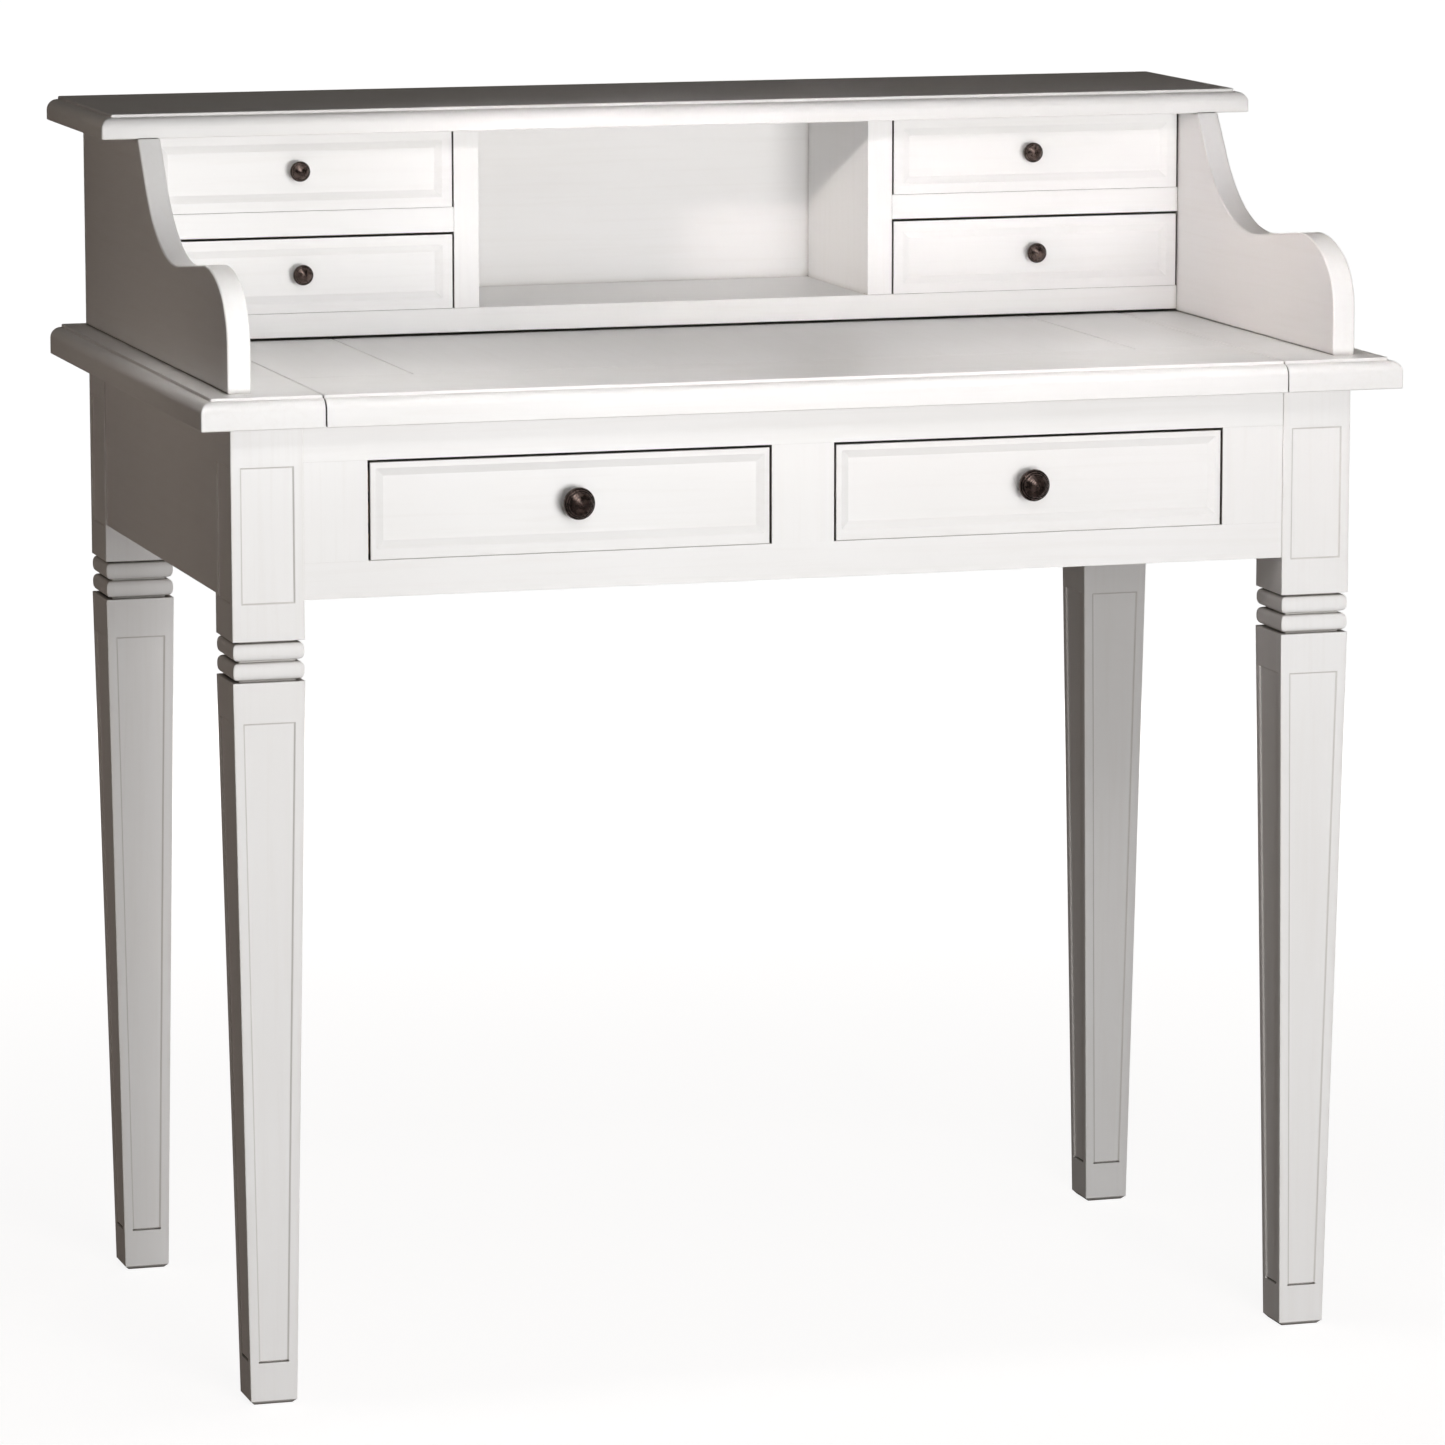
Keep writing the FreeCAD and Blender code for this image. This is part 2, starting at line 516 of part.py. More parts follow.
def side_panel(side, name):
    """A gallery side with its swept front edge and a rebate for the back board."""
    body = new_body(f"{name}_side_panel")
    sketch = sketch_on(body, "YZ_Plane", "Sweep")
    desk = "Dims.desk_under + Dims.desk_thick"
    (spring, meet, run_start, run_end, brow_start, top), centres = sweep_points()
    nose, crown, cove = (value(f"Dims.{arc}_radius") for arc in ("nose", "crown", "cove"))
    foot = FreeCAD.Vector(spring.x, value(desk), 0)
    heel = FreeCAD.Vector(value("Dims.side_back"), foot.y, 0)
    crest = FreeCAD.Vector(heel.x, top.y, 0)
    shapes = (Part.LineSegment(heel, foot), Part.LineSegment(foot, spring),
              arc_about(centres[0], nose, meet, spring), arc_about(centres[1], crown, run_start, meet),
              Part.LineSegment(run_start, run_end), arc_about(centres[2], cove, run_end, brow_start),
              Part.LineSegment(brow_start, top), Part.LineSegment(top, crest), Part.LineSegment(crest, heel))
    numbers = sketch.addGeometry(list(shapes))
    heel_run, front, nose_arc, crown_arc, fall, cove_arc, brow, top_run, back = numbers
    smooth = ((front, 2, nose_arc, 2), (nose_arc, 1, crown_arc, 2), (crown_arc, 1, fall, 1),
              (fall, 2, cove_arc, 1), (cove_arc, 2, brow, 1))
    sharp = ((heel_run, 2, front, 1), (brow, 2, top_run, 1), (top_run, 2, back, 1), (back, 2, heel_run, 1))
    for kind, joins in (("Tangent", smooth), ("Coincident", sharp)):
        for join in joins:
            sketch.addConstraint(Sketcher.Constraint(kind, *join))
    fix_point(sketch, heel_run, 1, "Dims.side_back", desk)
    fix_point(sketch, front, 1, "-Dims.sweep_front", desk)
    fix_point(sketch, top_run, 1, "Dims.sweep_top", "Dims.cornice_under")
    fix_point(sketch, top_run, 2, "Dims.side_back", "Dims.cornice_under")
    sketch.addConstraint(Sketcher.Constraint("Vertical", front))
    driving = (("DistanceY", (front, 2), "Dims.sweep_spring"),
               ("DistanceY", (crown_arc, 3), "Dims.crown_height - Dims.crown_radius"),
               ("Radius", (nose_arc,), "Dims.nose_radius"), ("Radius", (crown_arc,), "Dims.crown_radius"),
               ("Radius", (cove_arc,), "Dims.cove_radius"))
    for kind, place, expression in driving:
        index = sketch.addConstraint(Sketcher.Constraint(kind, *place, value(expression)))
        bind(sketch, f"Constraints[{index}]", expression)
    for line, angle in ((fall, "-Dims.fall_angle"), (brow, "Dims.brow_angle")):
        index = sketch.addConstraint(Sketcher.Constraint("Angle", line, math.radians(value(angle))))
        bind(sketch, f"Constraints[{index}]", f"({angle}) * 1deg")
    feature(body, "Pad", sketch, "Dims.side_thick")
    rebate = sketch_on(body, "XY_Plane", "Rebate", desk)
    lap = ("0", "Dims.back_lap") if side > 0 else ("Dims.side_thick - Dims.back_lap", "Dims.side_thick")
    rectangle(rebate, lap, ("Dims.side_back - Dims.back_thick", "Dims.side_back"))
    feature(body, "Pocket", rebate, reverse=True, through=True)
    housings = sketch_on(body, "YZ_Plane", "Housings", "Dims.side_thick" if side < 0 else "0")
    for low, high in ((FLOOR_UNDER, "Dims.floor_top"), ("Dims.shelf_low", "Dims.shelf_high")):
        rectangle(housings, HOUSED_DEPTH, (low, high))
    feature(body, "Pocket", housings, "Dims.housing", reverse=side > 0)
    put(body, "-Dims.side_spread" if side < 0 else "Dims.side_spread - Dims.side_thick")
    return sub_part(body, f"{name}_side_panel")


def lengthened(span):
    """A span of x made longer at both ends by the depth of a housing."""
    return f"{span[0]} - Dims.housing", f"{span[1]} + Dims.housing"


SHELF_LEVEL = ("Dims.shelf_low", "Dims.shelf_high")
FOOT_LEVEL = ("Dims.floor_top - Dims.housing", "Dims.floor_top")
divider_feet = []
for side, name in ((-1, "left"), (1, "right")):
    side_panel(side, name)
    width = mirrored_pair(side, DIVIDER_OUTER, SIDE_INNER)
    shelf_tongue = plank(lengthened(width), HOUSED_DEPTH, SHELF_LEVEL, "Tongue")
    sub_part(fused(plank(width, GALLERY_DEPTH, SHELF_LEVEL), shelf_tongue), f"{name}_shelf")
    width = mirrored_pair(side, "Dims.divider_inner", DIVIDER_OUTER)
    divider = plank(width, GALLERY_DEPTH, ("Dims.floor_top", "Dims.cornice_under"))
    divider_feet.append(plank(width, HOUSED_DEPTH, FOOT_LEVEL, "Foot"))
    sub_part(cut(fused(divider, divider_feet[-1]), shelf_tongue), f"{name}_divider")
width = (f"-{SIDE_INNER}", SIDE_INNER)
floor = plank(width, GALLERY_DEPTH, (FLOOR_UNDER, "Dims.floor_top"))
floor_tongue = plank(lengthened(width), HOUSED_DEPTH, (FLOOR_UNDER, "Dims.floor_top"), "Tongue")
sub_part(cut(fused(floor, floor_tongue), *divider_feet), "gallery_floor")
back_width = (f"-{SIDE_INNER} - Dims.back_lap", f"{SIDE_INNER} + Dims.back_lap")
back = plank(back_width, (GALLERY_DEPTH[1], "Dims.side_back"), (FLOOR_UNDER, "Dims.cornice_under"))
sub_part(back, "gallery_back")


# ---------------------------------------------------------------- drawers
def tails(sketch, size, joint):
    """Outlines of a drawer side's dovetails, seen along x; joint is the y at which the side itself ends."""
    pitch = f"(Dims.{size}_height / Dims.{size}_tails)"
    reach = f"(Dims.{size}_front - Dims.{size}_lap)"
    wide = f"{pitch} * Dims.tail_share / 2"
    narrow = f"({wide} - {reach} / Dims.tail_slope)"
    end = f"{joint} - {reach}"
    for number in range(int(value(f"Dims.{size}_tails"))):
        middle = f"{number + 0.5} * {pitch}"
        outline(sketch, ((joint, f"{middle} - {narrow}"), (joint, f"{middle} + {narrow}"),
                         (end, f"{middle} + {wide}"), (end, f"{middle} - {wide}")))


def drawer_front(size, width, height):
    """A drawer front with a flat rim round a bevelled, sunk field.

    It is grooved behind for the bottom, and its ends have sockets for the sides' dovetails.
    """
    body = new_body("Front")
    half = f"({width}) / 2"
    board = sketch_on(body, "XZ_Plane", "Board")
    rectangle(board, (f"-{half}", half), ("0", height))
    feature(body, "Pad", board, f"Dims.{size}_front", reverse=True)
    levels = []
    for inset, sink in (("Dims.rim", "0"), ("(Dims.rim + Dims.bevel)", "Dims.field_sink")):
        level = sketch_on(body, "XZ_Plane", "Field", f"-{sink}")
        rectangle(level, (f"-{half} + {inset}", f"{half} - {inset}"), (inset, f"{height} - {inset}"))
        levels.append(level)
    sunk_loft(body, *levels)
    groove = sketch_on(body, "XZ_Plane", "Groove", f"-Dims.{size}_front")
    inside = f"({half} - Dims.{size}_side)"
    rectangle(groove, (f"-{inside}", inside), (f"Dims.{size}_lift", f"Dims.{size}_lift + Dims.{size}_bottom"))
    feature(body, "Pocket", groove, "Dims.groove_bite", reverse=True)
    for end, inwards in ((f"-{half}", True), (half, False)):
        sockets = sketch_on(body, "YZ_Plane", "Sockets", end)
        tails(sockets, size, f"Dims.{size}_front")
        feature(body, "Pocket", sockets, f"Dims.{size}_side", reverse=inwards)
    return body


def drawer_side(side, size):
    """A side with dovetails in front and grooves for the bottom and the back; x = 0 is its outer face."""
    body = new_body("Side")
    section = sketch_on(body, "XZ_Plane", "Section")
    inner = f"{-side} * Dims.{size}_side"
    floor = f"{-side} * (Dims.{size}_side - Dims.groove_bite)"
    low, high = f"Dims.{size}_lift", f"Dims.{size}_lift + Dims.{size}_bottom"
    corners = [("0", "0"), (inner, "0"), (inner, low), (floor, low), (floor, high), (inner, high),
               (inner, f"Dims.{size}_height"), ("0", f"Dims.{size}_height")]
    outline(section, corners)
    length = f"(Dims.{size}_depth - Dims.{size}_front)"
    feature(body, "Pad", section, length, reverse=True)
    dovetails = sketch_on(body, "YZ_Plane", "Dovetails")
    tails(dovetails, size, "0")
    feature(body, "Pad", dovetails, f"Dims.{size}_side", reverse=side > 0)
    housing = sketch_on(body, "YZ_Plane", "Housing", inner)
    back_end = f"{length} - Dims.back_inset"
    rectangle(housing, (f"{back_end} - Dims.{size}_side", back_end), (high, f"Dims.{size}_height"))
    feature(body, "Pocket", housing, "Dims.back_housing", reverse=side > 0)
    return body


def knob(size):
    """A turned knob about local z: a round neck, a head with a plain edge, and a crown set back from it."""
    body = new_body("Knob")
    profile = sketch_on(body, "XZ_Plane", "Profile")
    edge, reach = f"Dims.{size}_knob", f"Dims.{size}_reach"
    waist, crown, tip = (f"{edge} * Dims.knob_{part}" for part in ("waist", "crown", "tip"))
    neck_rise, edge_rise = f"{reach} * Dims.neck_rise", f"{reach} * Dims.edge_rise"
    outline(profile, (("0", "0"), (waist, "0"), (waist, neck_rise), (edge, neck_rise), (edge, edge_rise),
                      (crown, edge_rise), (tip, reach), ("0", reach)))
    turned = body.newObject("PartDesign::Revolution", "Turned")
    turned.Profile = profile
    turned.ReferenceAxis = (profile, ["V_Axis"])
    turned.Angle = 360
    return body


def drawer(label, size, middle, front, low, width, height):
    """One drawer in its opening: each piece is placed from the middle of the opening's bottom edge."""
    wide, tall = f"({width} - 2 * Dims.gap_side)", f"({height} - Dims.gap_above - Dims.gap_below)"
    base = f"({low} + Dims.gap_below)"
    thick, lift, bottom = (f"Dims.{size}_{part}" for part in ("side", "lift", "bottom"))
    face = drawer_front(size, wide, tall)
    put(face, middle, front, base)
    sub_part(face, f"{label}_front")
    behind, end = f"({front} + Dims.{size}_front)", f"({front} + Dims.{size}_depth)"
    walls = []
    for side in (-1, 1):
        wall = drawer_side(side, size)
        put(wall, f"{middle} + {side} * {wide} / 2", behind, base)
        walls.append(wall)
    inner = (f"{middle} - {wide} / 2 + {thick}", f"{middle} + {wide} / 2 - {thick}")
    rise = f"{base} + {lift} + {bottom}"
    back_width = (f"{inner[0]} - Dims.back_housing", f"{inner[1]} + Dims.back_housing")
    back_end = f"{end} - Dims.back_inset"
    back_height = (rise, f"{base} + Dims.{size}_height")
    walls.append(plank(back_width, (f"{back_end} - {thick}", back_end), back_height, "Back"))
    if size == "big":
        for wall, name in zip(walls, ("left_side", "right_side", "back")):
            sub_part(wall, f"{label}_{name}")
    else:
        sub_part(group(*walls), f"{label}_box")
    bite = "(Dims.groove_bite - Dims.groove_slack)"
    level = (f"{base} + {lift}", rise)
    panel = plank((f"{inner[0]} - {bite}", f"{inner[1]} + {bite}"), (behind, end), level, "Bottom")
    tongue = plank(inner, (f"{behind} - {bite}", end), level, "Tongue")
    sub_part(fused(panel, tongue), f"{label}_bottom")
    pull = knob(size)
    pull.Placement.Rotation = FreeCAD.Rotation(FreeCAD.Vector(1, 0, 0), 90)
    put(pull, f"{middle} + Dims.{label}_shift", f"{front} + Dims.field_sink",
        f"{base} + {tall} / 2 + Dims.knob_lift")
    sub_part(pull, f"{label}_knob")


for side, name in ((-1, "left"), (1, "right")):
    drawer(f"{name}_drawer", "big", f"{side} * (Dims.stile_half + Dims.opening_wide / 2)", FRONT_FACE,
           "Dims.opening_low", "Dims.opening_wide", "(Dims.opening_high - Dims.opening_low)")
    for level, low, high in (("upper", "Dims.shelf_high", "Dims.cornice_under"),
                             ("lower", "Dims.floor_top", "Dims.shelf_low")):
        drawer(f"{level}_{name}_drawer", "small", f"{side} * ({SIDE_INNER} + {DIVIDER_OUTER}) / 2",
               "Dims.gallery_front", low, f"({SIDE_INNER} - {DIVIDER_OUTER})", f"({high} - {low})")

# ---------------------------------------------------------------- check and export
doc.recompute()
broken = [thing.Name for thing in doc.Objects if {"Invalid", "Error"} & set(thing.State)]
if broken:
    raise RuntimeError(f"not computed: {broken}")
for thing in SUB_PARTS:
    if thing.Shape.isNull() or not thing.Shape.isValid() or not thing.Shape.Solids:
        raise RuntimeError(f"bad shape: {thing.Label}")
os.makedirs("parts", exist_ok=True)
for thing in SUB_PARTS:
    thing.Shape.exportStep(f"parts/{thing.Label}.step")
print(f"{len(SUB_PARTS)} sub-parts written")
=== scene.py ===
import math
import bmesh
import bpy
import numpy as np
from mathutils import Matrix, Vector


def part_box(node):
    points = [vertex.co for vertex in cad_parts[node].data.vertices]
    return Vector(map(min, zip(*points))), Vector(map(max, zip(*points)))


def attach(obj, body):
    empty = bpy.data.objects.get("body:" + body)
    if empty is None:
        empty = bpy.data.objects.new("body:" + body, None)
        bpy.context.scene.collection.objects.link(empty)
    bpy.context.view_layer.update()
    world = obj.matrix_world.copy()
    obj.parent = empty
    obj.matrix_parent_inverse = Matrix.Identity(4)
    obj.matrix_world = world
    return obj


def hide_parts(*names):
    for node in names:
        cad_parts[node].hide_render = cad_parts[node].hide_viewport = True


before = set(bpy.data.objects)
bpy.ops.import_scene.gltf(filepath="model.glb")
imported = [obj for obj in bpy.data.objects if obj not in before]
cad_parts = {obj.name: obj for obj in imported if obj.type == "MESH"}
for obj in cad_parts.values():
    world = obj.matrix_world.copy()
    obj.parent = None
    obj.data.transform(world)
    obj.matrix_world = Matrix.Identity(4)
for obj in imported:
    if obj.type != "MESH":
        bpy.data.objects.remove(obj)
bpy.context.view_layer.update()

# ---------------------------------------------------------------- legs
# Four hardwood legs, 56 mm square at the head. Each is tapered below two squarish beads and has shallow sunk
# panels worked into its faces. It is mortised for the aprons and painted with them once they are glued up.
MM = 0.001                                   # sizes are in millimetres, heights from the floor
LEG_HALF = 28.0
FOOT_HALF = 18.25
FOOT_CHAMFER = 3.0
LOW_GROOVE = 563.0
BEAD_PITCH = 15.0
BEAD_RISE, BEAD_POWER = 5.6, 2.8
GROOVE_DEPTH = 6.0
CUT_HALF, CUT_EASE = 0.7, 0.5
SHOULDER = LOW_GROOVE - CUT_HALF
LEG_HEAD = 758.0
PANEL_MARGIN = 6.9
PANEL_SLOPE = 1.7
PANEL_SINK = 1.2
SHAFT_PANEL = (33.0, 531.5)
STOP_CUT = (33.0, 34.4)
STOP_SINK, STOP_SHY = 3.5, 0.2
BLOCK_PANEL = (621.5, 726.0)
ARRIS = 0.9
LEG_SPREAD, LEG_FRONT, LEG_BACK = 422.0, -215.5, 240.5
LEG_PLACES = {"front_left_leg": (-LEG_SPREAD, LEG_FRONT), "front_right_leg": (LEG_SPREAD, LEG_FRONT),
              "back_right_leg": (LEG_SPREAD, LEG_BACK), "back_left_leg": (-LEG_SPREAD, LEG_BACK)}


def add_node(tree, kind, values=None, **settings):
    """A shader node. settings are its own; values gives sockets a number, a colour or a node's output."""
    new = tree.nodes.new("ShaderNode" + kind)
    for key, setting in settings.items():
        setattr(new, key, setting)
    for socket, given in (values or {}).items():
        if isinstance(given, bpy.types.NodeSocket):
            tree.links.new(given, new.inputs[socket])
        else:
            new.inputs[socket].default_value = given
    return new


def remap(tree, source, low, high, to_low, to_high):
    """The output of a node, taken from one range to another and held inside it."""
    return add_node(tree, "MapRange", {"Value": source, "From Min": low, "From Max": high,
                                       "To Min": to_low, "To Max": to_high}).outputs["Result"]


def tinted(tree, share, plain, other):
    """A mix of two colours, or of a colour and a node's colour."""
    return add_node(tree, "Mix", {0: share, 6: plain, 7: other}, data_type="RGBA").outputs[2]


def fresh_material(name):
    """A material with nothing but its shader and its output."""
    made = bpy.data.materials.new(name)
    made.use_nodes = True
    return made, made.node_tree, made.node_tree.nodes["Principled BSDF"]


PAINT = (0.86, 0.852, 0.846, 1)
PAINT_THIN = (0.80, 0.782, 0.762, 1)
# painted shade: the grey that the paint takes in nooks, and the near black of the narrow cuts
NOOK_SHADE = (0.52, 0.49, 0.455, 1)
CUT_SHADE = (0.09, 0.075, 0.06, 1)
NOOK_REACH = 0.007                           # metres: how near another face must stand to grey the paint with painted shade


def drawn_out(tree, place, along, lengthwise, across):
    """A place for a noise that is stretched along one axis, from the noise's two scales."""
    scale = tuple(lengthwise if axis == along else across for axis in "xyz")
    return add_node(tree, "Mapping", {"Vector": place, "Scale": scale}).outputs["Vector"]


def white_paint(along):
    """Satin white paint, brushed out along one axis over a filled grain.

    The tone drifts slowly over the board, lets a little of the grain through and is thinner on rubbed edges.
    Painted shade greys it where other faces stand near and turns it near black in the narrow cuts, both by
    ambient occlusion, and greys the slopes that a piece marks as shaded. Brush marks are a noise stretched
    along the stroke; they lift the surface.
    """
    made, tree, shader = fresh_material("white_paint_" + along)
    place = add_node(tree, "TexCoord").outputs["Object"]
    drift = add_node(tree, "TexNoise", {"Vector": place, "Scale": 4.5, "Detail": 3}).outputs["Fac"]
    stroke = add_node(tree, "TexNoise", {"Vector": drawn_out(tree, place, along, 16, 420),
                                         "Scale": 1, "Detail": 4}).outputs["Fac"]
    grit = add_node(tree, "TexNoise", {"Vector": place, "Scale": 750, "Detail": 2}).outputs["Fac"]
    tone = tinted(tree, remap(tree, drift, 0.35, 0.75, 0, 0.4), PAINT, PAINT_THIN)
    grain = add_node(tree, "TexNoise", {"Vector": drawn_out(tree, place, along, 7, 190), "Scale": 1,
                                        "Detail": 3, "Distortion": 0.8}).outputs["Fac"]
    tone = tinted(tree, remap(tree, grain, 0.48, 0.72, 0, 0.3), tone, PAINT_THIN)
    worn = add_node(tree, "Attribute", attribute_name="worn").outputs["Fac"]
    patchy = add_node(tree, "TexNoise", {"Vector": place, "Scale": 38, "Detail": 4}).outputs["Fac"]
    rub = add_node(tree, "Math", {0: worn, 1: remap(tree, patchy, 0.42, 0.7, 0.1, 0.75)},
                   operation="MULTIPLY").outputs[0]
    tone = tinted(tree, rub, tone, PAINT_THIN)
    # painted shade by ambient occlusion: the paint greys where other faces stand within NOOK_REACH
    closed_in = add_node(tree, "AmbientOcclusion", {"Distance": NOOK_REACH}, samples=8).outputs["AO"]
    # painted shade that a piece marks on its own slopes, read from the mesh
    painted_shade = add_node(tree, "Attribute", attribute_name="painted_shade").outputs["Fac"]
    # the painted shade of the nooks and of the marked slopes, whichever is more
    dust = add_node(tree, "Math", {0: remap(tree, closed_in, 0.3, 0.78, 0.75, 0), 1: painted_shade},
                    operation="MAXIMUM").outputs[0]
    tone = tinted(tree, dust, tone, NOOK_SHADE)
    # painted shade: the paint turns near black where ambient occlusion finds a narrow cut or gap
    tone = tinted(tree, remap(tree, closed_in, 0.12, 0.36, 1, 0), tone, CUT_SHADE)
    tree.links.new(tone, shader.inputs["Base Color"])
    tree.links.new(remap(tree, drift, 0.35, 0.75, 0.28, 0.34), shader.inputs["Roughness"])
    lift = add_node(tree, "Bump", {"Height": stroke, "Strength": 0.08, "Distance": 0.00006}).outputs["Normal"]
    lift = add_node(tree, "Bump", {"Height": grit, "Strength": 0.1, "Distance": 0.00005,
                                   "Normal": lift}).outputs["Normal"]
    tree.links.new(lift, shader.inputs["Normal"])
    return made


PAINT_ALONG = {along: white_paint(along) for along in "xyz"}


def shell(name, rings, material, node, body="desk", worn=None, painted_shade=None,
          crease=24):
    """A closed skin over rings of points: array (ring, point round it, xyz) in mm.

    Neighbouring rings are joined by four-sided faces, and a face closes the first ring and the last. worn is
    how much each point is rubbed, and painted_shade how much painted shade its paint takes, 0 to 1. Edges
    that turn by more than crease degrees stay sharp.
    """
    count, around = rings.shape[:2]
    start = np.arange(count - 1)[:, None] * around
    here = np.arange(around)[None, :]
    after = (here + 1) % around
    quads = np.stack([start + here, start + after, start + around + after, start + around + here], axis=-1)
    faces = quads.reshape(-1, 4).tolist()
    faces += [list(range(around))[::-1], list(range((count - 1) * around, count * around))]
    mesh = bpy.data.meshes.new(name)
    mesh.from_pydata((rings.reshape(-1, 3) * MM).tolist(), [], faces)
    for label, shares in (("worn", worn), ("painted_shade", painted_shade)):
        if shares is not None:
            kept = mesh.attributes.new(label, "FLOAT", "POINT")
            everywhere = np.broadcast_to(shares, (count, around)).ravel()
            kept.data.foreach_set("value", everywhere.astype(np.float32))
    work = bmesh.new()
    work.from_mesh(mesh)
    bmesh.ops.remove_doubles(work, verts=work.verts, dist=1e-6)
    bmesh.ops.recalc_face_normals(work, faces=work.faces)
    work.to_mesh(mesh)
    work.free()
    mesh.shade_smooth()
    mesh.set_sharp_from_angle(angle=math.radians(crease))
    mesh.materials.append(material)
    piece = bpy.data.objects.new(name, mesh)
    bpy.context.scene.collection.objects.link(piece)
    even = piece.modifiers.new("Even_faces", "WEIGHTED_NORMAL")
    even.keep_sharp = True
    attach(piece, body)
    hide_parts(node)


def leg_rows():
    """Heights of the leg's rows and the half-width at each.

    The half-width grows in a straight line from foot to shoulder and stays full up the block. Between them
    three narrow cuts go in square, and each bead between two cuts is a squarish round: its rise falls off as
    a high power of the distance from its middle.
    """
    taper = (LEG_HALF - FOOT_HALF) / SHOULDER
    step = 0.02                              # the rise of an upright step, which is never quite level
    slope = np.linspace(0, PANEL_SLOPE, 5)
    low, high = SHAFT_PANEL
    past_stop = low + slope[3:] + 1.0
    plain = np.linspace(60, 500, 12)
    shaft = np.concatenate([[FOOT_CHAMFER, low - step, low + step, STOP_CUT[1] - step, STOP_CUT[1] + step],
                            past_stop, plain, high - slope[::-1], [SHOULDER - 0.6]])
    rows = [np.array([[0.0, FOOT_HALF - FOOT_CHAMFER]]),
            np.stack([shaft, FOOT_HALF + taper * shaft], axis=1),
            np.array([[SHOULDER - 0.1, LEG_HALF - 0.3 * CUT_EASE], [SHOULDER, LEG_HALF - CUT_EASE]])]
    floor = LEG_HALF - GROOVE_DEPTH
    share = np.sin(np.linspace(-math.pi / 2, math.pi / 2, 19))
    width = floor + BEAD_RISE * (1 - np.abs(share) ** BEAD_POWER) ** (1 / BEAD_POWER)
    for bead in range(3):
        cut = LOW_GROOVE + bead * BEAD_PITCH
        rows.append(np.array([[cut - CUT_HALF + step, floor], [cut + CUT_HALF - step, floor]]))
        if bead < 2:
            rise = cut + BEAD_PITCH / 2 + (BEAD_PITCH / 2 - CUT_HALF) * share
            rows.append(np.stack([rise, width], axis=1))
    foot = cut + CUT_HALF
    rows.append(np.array([[foot, LEG_HALF - CUT_EASE], [foot + 0.3 * CUT_EASE, LEG_HALF - 0.3 * CUT_EASE],
                          [foot + CUT_EASE, LEG_HALF]]))
    low, high = BLOCK_PANEL
    block = np.concatenate([low + slope, high - slope[::-1], [LEG_HEAD]])
    rows.append(np.stack([block, np.full(len(block), LEG_HALF)], axis=1))
    return np.concatenate(rows)


def leg_skin(centre, quarter_turns):
    """Points of a leg as a function of height and of the way round it.

    Each of the four faces stands off by the half-width at its height, less the sinking of its panel: nothing
    outside the margin, a smooth slope across the border, then flat. The faces meet in quarter-round arrises.
    Painted shade greys the slope, most in its middle. It gives the points, how rubbed they are and how much
    painted shade they take.
    """
    rows = leg_rows()
    height, half = rows[:, :1], rows[:, 1:]
    in_margin = 4.5
    border = np.concatenate([[ARRIS, in_margin], PANEL_MARGIN + np.linspace(0, PANEL_SLOPE, 5)])
    left = -(half - border)
    along = np.concatenate([left, left[:, -1:] * 0.5, half * 0, -left[:, -1:] * 0.5, -left[:, ::-1]], axis=1)
    turn = np.radians([30, 60])
    corner_along = half - ARRIS + ARRIS * np.sin(turn)
    corner_out = half - ARRIS + ARRIS * np.cos(turn)
    faces, rubs, slope_shades = [], [], []
    for face in range(4):
        sink, dust = np.zeros_like(along), np.zeros_like(along)
        panels = [SHAFT_PANEL, BLOCK_PANEL] if face in (0, 3) else [SHAFT_PANEL]
        across_in = half - PANEL_MARGIN - np.abs(along)
        for low, high in panels:
            inside = np.minimum(across_in, np.minimum(height - low, high - height))
            share = np.clip(inside / PANEL_SLOPE, 0, 1)
            sink = np.maximum(sink, PANEL_SINK * share * share * (3 - 2 * share))
            # painted shade along the panel's sloped border, most in its middle
            dust = np.maximum(dust, 2.4 * share * (1 - share))
        stopped = (height > STOP_CUT[0]) & (height < STOP_CUT[1]) & (across_in > STOP_SHY)
        sink = np.where(stopped, STOP_SINK, sink)
        run = np.concatenate([along, corner_along], axis=1)
        out = np.concatenate([half - sink, corner_out], axis=1)
        turned = math.pi / 2 * face
        faces.append(np.stack([run * math.cos(turned) + out * math.sin(turned),
                               run * math.sin(turned) - out * math.cos(turned),
                               np.broadcast_to(height, run.shape)], axis=-1))
        rub = np.zeros_like(run)
        rub[:, [0, -3, -2, -1]] = 1
        rubs.append(rub)
        slope_shades.append(np.concatenate([dust, np.zeros_like(corner_out)], axis=1))
    points = np.concatenate(faces, axis=1)
    heading = math.pi / 2 * quarter_turns
    turned_x = points[..., 0] * math.cos(heading) - points[..., 1] * math.sin(heading)
    turned_y = points[..., 0] * math.sin(heading) + points[..., 1] * math.cos(heading)
    skin = np.stack([turned_x + centre[0], turned_y + centre[1], points[..., 2]], axis=-1)
    return skin, np.concatenate(rubs, axis=1), np.concatenate(slope_shades, axis=1)


for quarter_turns, (leg_node, leg_centre) in enumerate(LEG_PLACES.items()):
    leg_points, leg_rub, leg_shade = leg_skin(leg_centre, quarter_turns)
    shell("painted_" + leg_node, leg_points, PAINT_ALONG["z"], leg_node, worn=leg_rub, painted_shade=leg_shade)

# ---------------------------------------------------------------- apron frame
# Aprons at the sides and back, and a front frame of two rails and three stiles round the drawer openings.
# Flat hardwood boards, tenoned into the legs, with their arrises taken off before painting.


